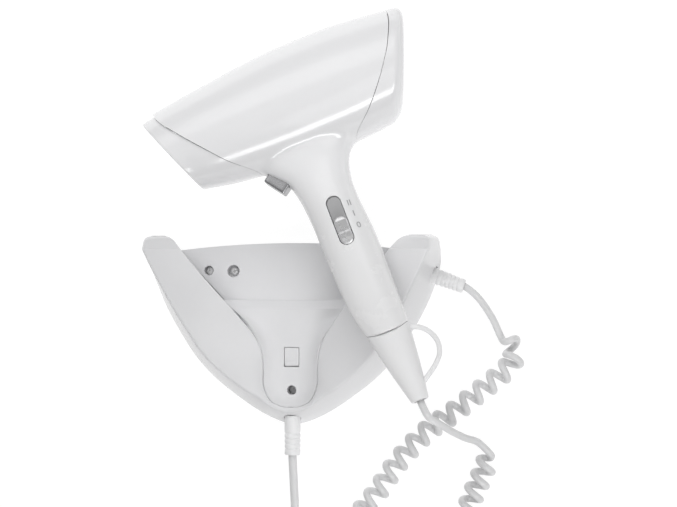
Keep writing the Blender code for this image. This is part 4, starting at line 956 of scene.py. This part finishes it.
    def slider(self) -> bpy.types.Object:
        """The silver slide knob: a thumb pad with a crest, a groove across it and a rib below the groove."""
        low = self.slot_bottom - 0.1
        high = low + self.slider_length - 2 * self.slot_radius + 0.1
        steps = 40
        outline = self.stadium(-0.55, high, low, steps)
        side = np.linspace(high, low, 42)[1:-1]
        left = np.column_stack([np.full(len(side), outline[steps, 0]), side])
        right = np.column_stack([np.full(len(side), outline[0, 0]), side[::-1]])
        outline = np.vstack([outline[: steps + 1], left, outline[steps + 1 :], right])
        spine = np.column_stack([np.full(len(outline), self.slot_u), np.clip(outline[:, 1], low, high)])
        base = self.track_w + 0.3
        rings = [np.column_stack([outline, np.full(len(outline), w)]) for w in (base, base + 1.2)]
        relief_at, relief = zip(*self.knob_relief)
        for share in [*np.linspace(0, 0.25, 5), *np.linspace(0.3, 0.98, 14)]:
            flat = outline * (1 - share) + spine * share
            edge = math.sqrt(1 - (1 - min(share / 0.25, 1)) ** 2)
            height = np.interp(flat[:, 1] - low, relief_at, relief) * edge
            rings.append(np.column_stack([flat, base + 1.3 + height]))
        knob = self.placed("slide_knob", closed(rings))
        dress(knob, Look.SILVER, 35.0)
        return settle(knob, "switch_slider", "silver_controls", "switch_slider")

    def button_block(self, grow: float, inner: float, outer: float) -> bpy.types.Object:
        """A box on the cool-shot button's axis."""
        length, width, _ = self.button_size
        out = np.array(self.button_out) / np.linalg.norm(self.button_out)
        side = np.array((-out[1], out[0]))
        rings = []
        for depth in (inner, outer):
            corner = []
            for a, b in ((-1, -1), (1, -1), (1, 1), (-1, 1)):
                flat = np.array(self.button_at) + out * depth + side * a * (length + grow) / 2
                corner.append((*flat, b * (width + grow) / 2))
            rings.append(np.array(corner))
        return self.placed("tool", closed(rings))

    def cool_button(self) -> bpy.types.Object:
        """The silver cool-shot button: a rounded key with a shallow dish."""
        length, width, depth = self.button_size
        button = rounded_box("cool_key", (depth, length, width), 1.3, 5)
        with edit_mode(button):
            bpy.ops.mesh.subdivide(number_cuts=6)
        out = np.array((*self.button_out, 0.0)) / np.linalg.norm(self.button_out)
        side = np.array((-out[1], out[0], 0.0))
        at = np.array((*self.button_at, 0.0)) - out * depth / 2

        def place(p: np.ndarray) -> np.ndarray:
            """Dishes the outer face and puts the key on its axis."""
            dish = 0.5 * np.clip(1 - (p[:, 1] / 7.0) ** 2, 0, 1) * np.clip(1 - (p[:, 2] / 5.0) ** 2, 0, 1)
            x = p[:, 0] - np.where(p[:, 0] > depth / 2 - 0.1, dish, 0.0)
            up = np.array((0.0, 0.0, 1.0))
            return self.axes.place(at + x[:, None] * out + p[:, 1:2] * side + p[:, 2:3] * up)

        put_points(button, place)
        tidy(button)
        dress(button, Look.DARK_SILVER, 40.0)
        return settle(button, "cool_button", "silver_controls", "cool_button")

    def marks(self) -> list[bpy.types.Object]:
        """The three position marks beside the slide switch, printed on the grip."""
        made = []
        for name, text, u, v in self.mark_places:
            clear_selection()
            bpy.ops.object.text_add()
            thing = bpy.context.object
            thing.name = name
            thing.data.body = text
            thing.data.size = self.mark_size * MM
            thing.data.align_x = "CENTER"
            thing.data.align_y = "CENTER"
            thing.data.extrude = 0.02 * MM
            thing.data.offset = 0.04 * MM
            bpy.ops.object.convert(target="MESH")
            thing = bpy.context.object

            def place(p: np.ndarray, u: float = u, v: float = v) -> np.ndarray:
                """Wraps the flat mark onto the grip."""
                spots = [(u + x, v + y, self.grip_face(u + x, v + y) + 0.03 + z) for x, y, z in p]
                return self.axes.place(np.array(spots))

            put_points(thing, place)
            dress(thing, Look.INK, smooth=False)
            settle(thing, "handset", "silver_controls")
            made.append(thing)
        return made

    def build(self) -> None:
        """Builds every piece of the handset and dresses the nodes inside it."""
        self.casing()
        self.nozzle()
        self.rear()
        self.tail()
        self.switch_track()
        self.slider()
        self.cool_button()
        self.marks()
        dress_nodes(Look.BLACK, "switch_body", "cool_switch", "outlet_grille")
        dress_nodes(Look.BLACK, "motor_mount", "fan_impeller", "fan_shroud")
        dress_nodes(Look.STEEL, "casing_screw_upper", "casing_screw_lower", "heat_shield")
        dress_nodes(Look.STEEL, "motor_can", "motor_shaft", "thermal_fuse")
        dress_nodes(Look.WIRE, "heater_coil_front", "heater_coil_rear", "board_choke")
        dress_nodes(Look.GREY, "thermostat", "cord_clamp")
        dress_nodes(Look.MICA, "heater_frame")
        dress_nodes(Look.BOARD, "control_board")


# --- wall holder ----------------------------------------------------------------------------------------
@dataclass
class WallHolder:
    """The V-shaped holder: winged cover, seat with ledge and channel, caps, wells and docking button."""

    # each row: foot of the wall x,y / rim x,y,z / inner edge x,y,z / undercut, on the right-hand side
    stations: tuple = (
        ((104.0, 66.5), (101.0, 65.5, 46.0), (81.5, 65.5, 46.0), 6.0),
        ((105.4, 56.0), (101.0, 56.0, 53.0), (73.6, 56.5, 51.5), 7.0),
        ((105.2, 45.0), (96.2, 45.5, 51.0), (64.0, 44.0, 47.5), 7.5),
        ((100.4, 28.5), (88.0, 29.0, 47.6), (51.8, 29.5, 44.0), 7.5),
        ((93.4, 12.4), (80.2, 14.0, 44.2), (40.9, 16.5, 39.0), 5.5),
        ((84.0, -4.0), (71.0, -1.5, 40.8), (31.4, 4.0, 31.5), 2.5),
        ((72.3, -21.5), (60.2, -18.2, 36.6), (24.2, -7.0, 25.5), 0.8),
        ((57.6, -37.0), (47.4, -31.2, 33.0), (20.6, -17.0, 23.0), 0.0),
        ((40.4, -50.3), (33.4, -42.0, 29.5), (19.6, -29.0, 22.4), 0.0),
        ((28.0, -58.6), (23.6, -47.9, 26.0), (19.4, -40.5, 22.4), 0.0),
        ((17.0, -64.4), (15.2, -54.4, 23.4), (14.8, -50.8, 22.2), 0.0),
        ((8.0, -67.8), (7.8, -58.2, 21.6), (7.7, -54.8, 21.2), 0.0),
    )
    bottom: tuple = ((0.0, -69.2), (0.0, -59.6, 21.0), (0.0, -56.0, 20.8), 0.0)
    depth_share: float = 0.9
    wall: float = 2.3
    lift_off: float = 0.3
    tip_round: float = 4.5
    plate_z: float = 9.0
    funnel_z: float = 13.5
    ledge_y: tuple[float, float] = (20.0, 14.0)
    plate_top: float = 61.0
    plate_drop: float = 4.6
    plate_half: float = 79.0
    seat_thick: float = 2.0
    seat_end: float = -55.8
    lip_from: float = -46.0
    lip_over: float = 8.5
    lip_rise: float = 4.2
    # each row: gland / radius of its hole in the cover / direction of the cord
    gland_holes: tuple = (
        ("curly_gland", 6.3, (29.0, -11.0, 0.0)),
        ("mains_gland", 6.1, (0.0, -1.0, 0.0)),
    )
    screw_seat: float = 3.3
    well_radii: tuple[float, ...] = (3.5, 4.5, 4.5, 3.5, 3.4)
    screws: tuple[str, ...] = (
        "wall_screw_outer_left", "wall_screw_inner_left", "wall_screw_inner_right",
        "wall_screw_outer_right", "wall_screw_lower",
    )

    def __post_init__(self) -> None:
        """Works out the dense stations and the seat's outline."""
        lower = self.depth_share
        flip = np.array([-1, 1, -1, 1, 1, -1, 1, 1, 1])
        right = [
            np.array([*base, rim[0], rim[1], rim[2] * lower, edge[0], edge[1], edge[2] * lower, shift])
            for base, rim, edge, shift in [*self.stations, self.bottom]
        ]
        half = right[1:]
        rows = smooth_path([*[row * flip for row in half[:-1]], *half[::-1]], 8)
        shares = (0.0, 0.02, 0.06, 0.12, 0.2, 0.3, 0.42, 0.7, 0.93)
        tip = [self.tip_row(right[0], right[1], share) for share in shares]
        self.rows = np.vstack([[row * flip for row in tip], rows, tip[::-1]])
        self.rows[:, 8] = np.maximum(self.rows[:, 8], 0.0)
        inner = self.rows[len(self.rows) // 2 :]
        order = np.argsort(inner[:, 6])
        self.edge_y, self.edge_x, self.edge_z = (inner[order, k] for k in (6, 5, 7))

    def tip_row(self, end: np.ndarray, last: np.ndarray, share: float) -> np.ndarray:
        """A station between an arm's end (0) and its last full one (1), with the end's corners rounded.

        Args:
            end: the station at the arm's end.
            last: the last full station.
            share: where the row lies.

        Returns:
            The station.
        """
        row = end * (1 - share) + last * share
        short = max(0.0, self.tip_round - share * (end[1] - last[1]))
        pull = self.tip_round - math.sqrt(max(0.0, self.tip_round**2 - short**2))
        return row + pull * np.array([-1.0, 0, -1.0, 0, -0.5, 1.0, 0, -0.5, 0])

    @staticmethod
    def inward(line: np.ndarray) -> np.ndarray:
        """Unit directions in the plane from a line toward the inside."""
        run = np.gradient(line[:, :2], axis=0)
        run /= np.linalg.norm(run, axis=1)[:, None]
        return np.column_stack([-run[:, 1], run[:, 0]])

    def sections(self) -> list[tuple[np.ndarray, np.ndarray]]:
        """Outer and inner line of the cover's wall at every station.

        Returns:
            Pairs of point rows: the outside from foot to undercut, and the lining back again.
        """
        base, rim, edge, shift = np.split(self.rows, (2, 5, 8), axis=1)
        into_base, into_rim, into_edge = self.inward(base), self.inward(rim), self.inward(edge)
        made = []
        for k in range(len(self.rows)):
            reach = float(np.linalg.norm(rim[k, :2] - edge[k, :2]))
            thick = min(self.wall, 0.3 * reach)
            foot_z = min(self.plate_z + 0.6, edge[k, 2] - self.wall - 1.5)
            foot = np.array([*(edge[k, :2] - into_edge[k] * shift[k, 0]), foot_z])
            start = np.array([*base[k], self.lift_off])
            outside = self.round_wall(np.array([start, rim[k], edge[k], foot]), reach)
            lining = np.array(
                [
                    [*(foot[:2] - into_edge[k] * thick), foot_z],
                    [*(edge[k, :2] - into_edge[k] * (thick + 0.1)), edge[k, 2] - self.wall],
                    [*(rim[k, :2] + into_rim[k] * thick), rim[k, 2] - self.wall - 0.4],
                    [*(base[k] + into_base[k] * thick), self.lift_off],
                ]
            )
            made.append((outside, lining))
        return made

    @staticmethod
    def round_wall(corners: np.ndarray, reach: float) -> np.ndarray:
        """The outside line with a rounded rim and inner edge and slightly crowned faces."""
        short_steps = 6
        top = short_steps + 1
        line = rounded(corners, [min(2.4, 0.3 * reach), min(1.5, 0.25 * reach)], short_steps)
        parts = [line[:1]]
        crowns = {0: 0.5, top: min(0.9, reach * 0.03)}
        for k in range(len(line) - 1):
            a, b = line[k], line[k + 1]
            crown = crowns.get(k, 0.0)
            steps = 8 if k in crowns or k == len(line) - 2 else 1
            out = np.array([*(corners[0, :2] - corners[2, :2]), 0.0])
            if k == top:
                out = np.array([0.0, 0.0, 1.0])
            size = np.linalg.norm(out)
            out = out / size if size > 0 else out
            for t in np.arange(1, steps + 1) / steps:
                parts.append((a * (1 - t) + b * t + out * crown * 4 * t * (1 - t))[None])
        return np.vstack(parts)

    def cover(self) -> bpy.types.Object:
        """The glossy cover: side wall, rim, wings and undercut inner walls in one skin."""
        sections = self.sections()
        rings = [np.vstack([outside, lining]) for outside, lining in sections]
        piece = skin("holder_cover", closed(rings))
        for name, radius, toward in self.gland_holes:
            low, high = node_box(name)
            axis = np.array(toward) / np.linalg.norm(toward)
            middle = (low + high) / 2 - axis * 6
            cut(piece, turned("tool", [(-30, radius), (30, radius)], middle, axis, 48))
        dress(piece, Look.HOLDER, 32.0)
        return settle(piece, "holder", "holder_shell", "outer_shell", "front_cover")

    def arm_ends(self) -> None:
        """The caps that close the two arms, each with a small chamfer."""
        sections = self.sections()
        for name, node, (outside, _) in (
            ("arm_end_left", "arm_cap_left", sections[0]),
            ("arm_end_right", "arm_cap_right", sections[-1]),
        ):
            foot = np.array([outside[-1, 0], outside[-1, 1], self.lift_off])
            line = np.vstack([outside, foot])
            middle = line.mean(axis=0)
            rings = []
            for y, grow in ((0.02, 1.0), (0.25, 0.995), (0.35, 0.97)):
                ring = middle + (line - middle) * grow
                ring[:, 1] = line[:, 1] + y
                ring[:, 2] = np.maximum(ring[:, 2], self.lift_off)
                rings.append(ring)
            cap = skin(name, closed(rings))
            dress(cap, Look.HOLDER, 32.0)
            settle(cap, "holder", "holder_shell", node)

    def seat_row(self, y: float, share: np.ndarray) -> np.ndarray:
        """One row of the seat's surface.

        Args:
            y: height of the row.
            share: -1 at the left wall to 1 at the right wall.

        Returns:
            The row's points.
        """
        half = float(np.interp(y, self.edge_y, self.edge_x))
        edge_z = float(np.interp(y, self.edge_y, self.edge_z))
        x = share * (half + float(np.interp(y, (4.0, 20.0), (-0.7, 6.0))))
        if y > self.ledge_y[0]:
            arch = self.plate_drop * (x / self.plate_half) ** 2
            k = (y - self.ledge_y[0]) / (self.plate_top - self.ledge_y[0])
            return np.column_stack([x, y - arch * k, np.full(len(x), self.plate_z)])
        rise = float(np.clip((self.ledge_y[0] - y) / (self.ledge_y[0] - self.ledge_y[1]), 0.0, 1.0))
        end = float(np.clip((self.lip_from - y) / self.lip_over, 0.0, 1.0))
        floor = self.plate_z + (self.funnel_z - self.plate_z) * rise + self.lip_rise * end * end
        power = float(np.interp(y, (-30.0, 10.0), (2.4, 7.0)))
        top = float(np.interp(y, (-12.0, 8.0), (edge_z - 0.6, self.funnel_z + 3.0)))
        top = max(min(edge_z - 0.6, top), floor)
        return np.column_stack([x, np.full(len(x), y), floor + (top - floor) * np.abs(share) ** power])

    def seat(self) -> bpy.types.Object:
        """The satin seat: plate, ledge, funnel and grip channel, with its screw and button openings."""
        ys = [
            *np.linspace(self.plate_top, 22, 24), 20.6, 20.0, 19.6, 17.0, 14.5, 14.0, 13.4,
            *np.linspace(12, self.seat_end, 64),
        ]
        share = np.sin(np.linspace(-math.pi / 2, math.pi / 2, 121))
        piece = skin("seat_plate", [self.seat_row(y, share) for y in ys], around=False)
        if piece.data.polygons[0].normal.z < 0:
            with edit_mode(piece):
                bpy.ops.mesh.flip_normals()
        apply_modifier(piece, "SOLIDIFY", thickness=self.seat_thick * MM, offset=-1.0)
        for x, y, radius in self.well_places():
            cut(piece, turned("tool", [(0, radius), (40, radius)], (x, y, 0), (0, 0, 1), 48))
        low, high = node_box("park_button")
        opening = rounded_box("tool", (*(high - low)[:2] + 0.7, 40), 0.6, 3)
        put_points(opening, lambda p: p + np.array([*((low + high) / 2)[:2], 20]))
        cut(piece, opening)
        dress(piece, Look.SEAT, 30.0)
        return settle(piece, "holder", "holder_seat", "seat_insert")

    def well_places(self) -> list[tuple[float, float, float]]:
        """x, y and well radius of the five wall screws."""
        middles = [sum(node_box(name)) / 2 for name in self.screws]
        return [(middle[0], middle[1], radius) for middle, radius in zip(middles, self.well_radii)]

    def wells(self) -> None:
        """The wells that sink the wall screws below the seat, each with its screw."""
        seat = self.screw_seat
        for name, (x, y, radius) in zip(self.screws, self.well_places()):
            top = self.plate_z if y > self.ledge_y[0] else self.funnel_z
            outer = radius + 1.1
            profile = [(seat, radius), (seat, outer), (top - 1.2, outer)]
            profile += [(top - 0.5, radius + 0.1), (top - 0.5, radius)]
            well_name = name.replace("wall_screw", "well")
            well = turned(well_name, profile, (x, y, 0), (0, 0, 1), 40, tube=True)
            dress(well, Look.SEAT, 40.0)
            settle(well, "holder", "holder_seat")
            self.screw(name, x, y)

    def screw(self, name: str, at_x: float, at_y: float) -> bpy.types.Object:
        """A wall screw with a domed head and a cross recess, turned a little out of line."""
        seat = self.screw_seat
        profile = [(0.3, 0.0), (0.3, 1.9), (seat, 1.9), (seat, 3.05), (seat + 0.7, 3.1), (seat + 1.3, 2.7)]
        profile += [(seat + 1.75, 1.9), (seat + 1.95, 0.9), (seat + 2.0, 0.0)]
        screw = turned("head_" + name, profile, (at_x, at_y, 0), (0, 0, 1), 48)
        for turn in (0.35, 0.35 + math.pi / 2):
            blade = rounded_box("tool", (3.7, 0.75, 3.0), 0.15, 2)
            c, d = math.cos(turn), math.sin(turn)

            def place(p: np.ndarray, c: float = c, d: float = d) -> np.ndarray:
                """Turns the blade and sinks it into the head."""
                x, y = p[:, 0] * c - p[:, 1] * d, p[:, 0] * d + p[:, 1] * c
                return np.column_stack([x + at_x, y + at_y, p[:, 2] + seat + 2.5])

            put_points(blade, place)
            cut(screw, blade)
        dress(screw, Look.SCREW, 30.0)
        return settle(screw, "holder", "steel_parts", name)

    def docking_button(self) -> bpy.types.Object:
        """The docking button with its lower facet and rounded edges."""
        low, high = node_box("park_button")
        size = high - low
        button = rounded_box("docking_key", tuple(size), 0.45, 3)

        def place(p: np.ndarray) -> np.ndarray:
            """Slopes the lower end and puts the key in its opening."""
            slope = np.clip((-p[:, 1] - size[1] / 2 + 3.0) / 3.0, 0, 1)
            z = p[:, 2] - np.where(p[:, 2] > 0, slope * 1.5, 0.0)
            return np.column_stack([p[:, 0], p[:, 1], z]) + (low + high) / 2

        with edit_mode(button):
            bpy.ops.mesh.subdivide(number_cuts=8)
        put_points(button, place)
        tidy(button)
        dress(button, Look.SEAT, 25.0)
        return settle(button, "park_button", "holder_seat", "park_button")

    def build(self) -> None:
        """Builds every piece of the holder and dresses the nodes inside it."""
        self.cover()
        self.arm_ends()
        self.seat()
        self.wells()
        self.docking_button()
        dress_nodes(Look.SEAT, "back_plate")
        dress_nodes(Look.BLACK, "park_switch")
        dress_nodes(Look.GREY, "terminal_block")


# --- cords ----------------------------------------------------------------------------------------------
@dataclass
class Cords:
    """The curly cord from holder to handset, the mains cord, their glands and the plug.  Sizes in mm."""

    axes: HandsetFrame
    curly_wire: float = 5.0
    coil_diameter: float = 17.0
    coil_z: float = 8.9
    open_pitch: float = 12.0
    late_pitch: float = 10.4
    shut_pitch: float = 5.6
    shut_below: float = -126.0
    shut_over: float = 14.0
    turn_points: int = 22
    gland_from: tuple[float, float] = (92.5, 40.9)
    gland_to: tuple[float, float] = (122.6, 29.9)
    gland_z: float = 9.2
    gland_radii: tuple[float, float] = (6.0, 4.9)
    rib_shape: tuple = ((0.08, 0.15), (0.2, 0.5), (0.34, 0.5), (0.46, 0.15), (0.56, 0.0), (0.94, 0.0))
    bore_gap: float = 0.25
    coil_axis: tuple = (
        (150.6, -6.4), (156.4, -13.0), (157.3, -20.5), (150.8, -29.5), (134.0, -43.5), (114.2, -59.4),
        (96.5, -72.3), (77.4, -92.3), (60.2, -116.8), (48.2, -132.4), (41.0, -147.0), (42.5, -164.0),
        (54.5, -178.0), (74.0, -184.0), (94.5, -179.5), (109.5, -166.0), (118.5, -147.0),
        (127.0, -121.2), (135.0, -102.5), (140.4, -88.5),
    )
    mains_wire: float = 6.0
    mains_gland_y: tuple[float, float] = (-62.0, -90.4)
    mains_gland_z: float = 9.6
    mains_gland_radii: tuple[float, float] = (5.75, 5.65)
    bundle_at: tuple[float, float] = (-62.0, -196.0)
    bundle_radius: float = 38.0
    bundle_z: float = 8.4
    bundle_turns: float = 3.5
    plug_at: tuple[float, float] = (-132.0, -168.0)
    plug_z: float = 9.9

    def helix(self) -> np.ndarray:
        """The coil's centreline: turns round the axis, drawn apart in view and shut out of it.

        Returns:
            Its points in mm.
        """
        axis = smooth_path(list(self.coil_axis), 24)
        run = np.concatenate([[0.0], np.cumsum(np.linalg.norm(np.diff(axis, axis=0), axis=1))])
        fine = np.linspace(0, run[-1], 2400)
        x, y = (np.interp(fine, run, axis[:, k]) for k in (0, 1))
        open_share = 1 - np.clip((self.shut_below - y) / self.shut_over, 0, 1)
        pitch = self.shut_pitch + (self.open_pitch - self.shut_pitch) * open_share
        late = fine > run[-1] / 2
        pitch = np.where(late, np.minimum(pitch, self.late_pitch), pitch)
        turn = np.concatenate([[0.0], np.cumsum(np.diff(fine) / pitch[:-1])]) * 2 * math.pi
        turn *= round(turn[-1] / (2 * math.pi)) * 2 * math.pi / turn[-1]
        steps = np.linspace(0, turn[-1], int(turn[-1] / (2 * math.pi) * self.turn_points))
        fine = np.interp(steps, turn, fine)
        x, y = (np.interp(fine, run, axis[:, k]) for k in (0, 1))
        run_x, run_y = np.gradient(x), np.gradient(y)
        size = np.hypot(run_x, run_y)
        side_x, side_y = run_y / size, -run_x / size
        ramp = np.clip(np.minimum(steps, steps[-1] - steps) / math.pi, 0.0, 1.0)
        radius = (self.coil_diameter - self.curly_wire) / 2 * (0.25 + 0.75 * ramp * ramp * (3 - 2 * ramp))
        across = np.cos(steps) * radius
        z = self.coil_z + np.sin(steps) * radius
        return np.column_stack([x + side_x * across, y + side_y * across, z])

    def curly_path(self) -> np.ndarray:
        """The whole curly cord from the holder's gland to the handset's tail."""
        start, end = np.array(self.gland_from), np.array(self.gland_to)
        line = (end - start) / np.linalg.norm(end - start)
        coil = self.helix()
        flat = [*(end + line * on for on in (-8, -4, 1.6)), (133.0, 21.6), (142.4, 7.8)]
        first = [*((x, y, self.gland_z) for x, y in flat), tuple(coil[0]), tuple(coil[6])]
        tail = [(-4.3, -216.0, 0.0), (-4.3, -226.3, 0.0), (-3.3, -236.3, -1.0)]
        last = [tuple(p) for p in self.axes.place(np.array(tail))]
        last += [(107.0, -62.5, 50.0), (115.5, -69.5, 36.0), (124.0, -75.0, 25.0), (133.0, -79.0, 17.0)]
        last += [tuple(coil[-1]), tuple(coil[-7])]
        # the stretch between a lead's two coil points only steers it, and is dropped
        steps = 10
        lead_in = smooth_path(first, steps)[: -steps - 1]
        lead_out = smooth_path(last, steps)[: -steps - 1][::-1]
        return np.vstack([lead_in, coil, lead_out])

    def curly(self) -> bpy.types.Object:
        """The curly cord as one tube, running from the holder to the handset."""
        path = self.curly_path()
        piece = tube_along("curly_cord", path, self.curly_wire / 2, 14)
        dress(piece, Look.CORD, 60.0)
        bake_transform(piece)
        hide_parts("curly_lead_holder", "curly_coil", "curly_lead_handset")
        return piece

    def mains_path(self) -> np.ndarray:
        """The mains cord from its gland through the wound bundle to the plug."""
        cx, cy = self.bundle_at
        swing = self.mains_wire / 2 * math.sqrt(2) + 0.1
        turn = np.linspace(0.12, self.bundle_turns, 260)
        angle = -turn * 2 * math.pi
        tilt = turn * math.pi / 2
        radius = self.bundle_radius + swing * np.cos(tilt)
        bundle = np.column_stack(
            [cx + radius * np.cos(angle), cy + radius * np.sin(angle), self.bundle_z + swing * np.sin(tilt)]
        )
        end_y = self.mains_gland_y[1]
        first = [
            (0, end_y + 8, self.mains_gland_z), (0, end_y + 3, self.mains_gland_z),
            (0, end_y - 2, self.mains_gland_z - 0.05), (0.4, -112, 6.4), (0.8, -135, 3.6), (-0.5, -160, 3.6),
            (-6, -178, 4.6), tuple(bundle[0]), tuple(bundle[6]),
        ]
        px, py = self.plug_at
        left = cx - self.bundle_radius
        last = [
            tuple(bundle[-7]), tuple(bundle[-1]), (left - 4.5, cy + 18, self.bundle_z),
            (left - 14, cy + 44, self.bundle_z + 0.6), (px + 8.0, py + 17, self.bundle_z + 1.2),
            (px + 0.4, py + 8, self.plug_z), (px, py - 3, self.plug_z),
        ]
        # the stretch between a lead's two bundle points only steers it, and is dropped
        steps = 10
        lead_in = smooth_path(first, steps)[: -steps - 1]
        lead_out = smooth_path(last, steps)[steps + 1 :]
        return np.vstack([lead_in, bundle, lead_out])

    def mains(self) -> bpy.types.Object:
        """The mains cord with its plug."""
        path = self.mains_path()
        piece = tube_along("mains_cord", path, self.mains_wire / 2, 16)
        dress(piece, Look.CORD, 60.0)
        settle(piece, "holder", "cord_sheath", "mains_lead", "mains_coil", "plug_lead")
        plug = self.plug()
        return piece

    def plug(self) -> bpy.types.Object:
        """The flat two-pin plug's body."""
        rows = SmoothCurve(((0, 4.6), (8, 5.4), (20, 9.0), (34, 16.0), (46, 17.6), (52, 17.2)))
        depths = SmoothCurve(((0, 4.6), (8, 5.6), (20, 8.4), (34, 9.2), (46, 9.6), (52, 9.4)))
        turn = 2 * math.pi * np.arange(56) / 56
        c, s = np.cos(turn), np.sin(turn)
        rings = []
        for along in np.linspace(0, 52, 34):
            inset = 1.6 * max(0.0, 1 - min(along, 52 - along) / 1.6) ** 2
            half = float(rows.at(along)) - inset
            depth = float(depths.at(along)) - inset
            groove = 0.5 if 6 < along < 18 and int(along / 1.6) % 2 else 0.0
            rings.append(
                np.column_stack(
                    [
                        self.plug_at[0] + (half - groove) * np.sign(c) * np.abs(c) ** 0.8,
                        np.full(56, self.plug_at[1] - along),
                        self.plug_z + (depth - groove) * np.sign(s) * np.abs(s) ** 0.8,
                    ]
                )
            )
        body = skin("mains_plug", closed(rings))
        dress(body, Look.GLAND, 35.0)
        return settle(body, "holder", "cord_sheath", "plug_body")

    def gland(
        self, name: str, node: str, start: tuple, end: tuple, radii: tuple, bore: float, *,
        ribs: int, flat: float,
    ) -> bpy.types.Object:
        """A ribbed sleeve.

        Args:
            name: the piece's name.
            node: the node it stands for.
            start: where it leaves the wall.
            end: its tip.
            radii: radius at the start and at the tip.
            bore: radius of the hole for the cord.
            ribs: how many ribs it has.
            flat: share of its length before the first rib.

        Returns:
            The piece.
        """
        a, b = np.array(start, float), np.array(end, float)
        length = float(np.linalg.norm(b - a))
        rows = [(0.0, bore), (0.0, radii[0]), (length * flat - 0.4, radii[0])]
        step = (length * 0.93 - length * flat) / ribs
        for k in range(ribs):
            s = length * flat + step * k
            r = radii[0] + (radii[1] - radii[0]) * s / length
            rows += [(s + step * along, r - drop) for along, drop in self.rib_shape]
        rows += [(length - 0.8, radii[1]), (length - 0.2, radii[1] - 0.35), (length, radii[1] - 0.8)]
        rows += [(length, bore + 0.5), (length - 1.2, bore)]
        piece = turned(name, rows, a, b - a, 56, tube=True)
        dress(piece, Look.GLAND, 35.0)
        return settle(piece, "holder", "cord_sheath", node)

    def build(self) -> None:
        """Builds the glands, both cords and the plug."""
        self.curly()
        self.mains()
        self.gland(
            "curly_sleeve", "curly_gland", (*self.gland_from, self.gland_z), (*self.gland_to, self.gland_z),
            self.gland_radii, self.curly_wire / 2 + self.bore_gap, ribs=6, flat=0.36,
        )
        start, end = ((0, y, self.mains_gland_z) for y in self.mains_gland_y)
        self.gland(
            "mains_sleeve", "mains_gland", start, end, self.mains_gland_radii,
            self.mains_wire / 2 + self.bore_gap, ribs=4, flat=0.42,
        )
        dress_nodes(Look.PIN, "plug_pin_1", "plug_pin_2")
        dress_nodes(Look.BLACK, "cord_tie")


# --- studio ---------------------------------------------------------------------------------------------
@dataclass
class Studio:
    """Pale floor, soft lights and the camera, in metres."""

    target: tuple[float, float, float] = (0.0318, 0.0536, 0.0)
    distance: float = 1.15
    lean_x: float = 8.3
    lean_y: float = -1.0
    lens: float = 85.0
    world: float = 0.22
    # each row: name / place / aim / face / watts / whether glossy surfaces show it
    softboxes: tuple = (
        ("key", (-0.25, 1.0, 1.15), (0.02, 0.08, 0.0), (1.4, 1.0), 13.0, False),
        ("top", (-0.1, 0.9, 1.2), (0.02, 0.1, 0.0), (1.6, 0.8), 3.2, True),
        ("fill", (0.7, -0.6, 1.25), (0.03, 0.0, 0.0), (1.2, 1.2), 4.0, True),
        ("strip", (0.52, -0.95, 0.75), (0.02, 0.16, 0.04), (1.5, 0.26), 8.0, True),
    )
    floor_drop_mm: float = 0.15
    floor_size: float = 6.0

    def camera(self) -> bpy.types.Object:
        """The camera, looking down on the object with +Y up in its view."""
        lean_x, lean_y = (math.tan(math.radians(lean)) for lean in (self.lean_x, self.lean_y))
        away = Vector((lean_x, lean_y, 1.0)).normalized()
        at = Vector(self.target) + away * self.distance
        right = Vector((0.0, 1.0, 0.0)).cross(away).normalized()
        up = away.cross(right)
        lens = bpy.data.cameras.new("view")
        lens.lens = self.lens
        thing = bpy.data.objects.new("view", lens)
        bpy.context.scene.collection.objects.link(thing)
        turn = Matrix((right, up, away)).transposed().to_4x4()
        thing.matrix_world = Matrix.Translation(at) @ turn
        bpy.context.scene.camera = thing
        bpy.context.scene.view_settings.view_transform = "Standard"
        return thing

    def floor(self) -> bpy.types.Object:
        """A wide pale sheet under the object."""
        clear_selection()
        bpy.ops.mesh.primitive_plane_add(size=self.floor_size)
        sheet = bpy.context.object
        sheet.name = "pale_floor"
        put_points(sheet, lambda p: p - np.array((0.0, 0.0, self.floor_drop_mm)))
        sheet.data.materials.append(Look.FLOOR.material())
        return sheet

    @staticmethod
    def softbox(
        name: str, at: tuple, aim: tuple, size: tuple, power: float, mirrored: bool
    ) -> bpy.types.Object:
        """A soft area light aimed at a point.

        Args:
            name: its name.
            at: where it stands, in metres.
            aim: the point it faces.
            size: length and height of its face.
            power: its power in watts.
            mirrored: whether glossy surfaces show it.

        Returns:
            The light.
        """
        light = bpy.data.lights.new(name, "AREA")
        light.shape = "RECTANGLE"
        light.size, light.size_y = size
        light.energy = power
        thing = bpy.data.objects.new(name, light)
        bpy.context.scene.collection.objects.link(thing)
        thing.location = at
        thing.rotation_euler = (Vector(aim) - Vector(at)).to_track_quat("-Z", "Y").to_euler()
        thing.visible_glossy = mirrored
        return thing

    def lights(self) -> None:
        """Softboxes and an even pale surround."""
        world = bpy.data.worlds.new("surround")
        bpy.context.scene.world = world
        world.use_nodes = True
        world.node_tree.nodes["Background"].inputs["Color"].default_value = (1.0, 1.0, 1.0, 1.0)
        world.node_tree.nodes["Background"].inputs["Strength"].default_value = self.world
        for row in self.softboxes:
            self.softbox(*row)

    def build(self) -> None:
        """Sets up camera, floor and lights."""
        self.camera()
        self.floor()
        self.lights()


def main() -> None:
    """Builds the studio, the cords, the holder and the handset in order."""
    logging.basicConfig(level=logging.INFO, format="%(message)s")
    axes = HandsetFrame(frame["joints"])
    Studio().build()
    Cords(axes).build()
    WallHolder().build()
    Handset(axes).build()


if __name__ == "__main__":
    main()
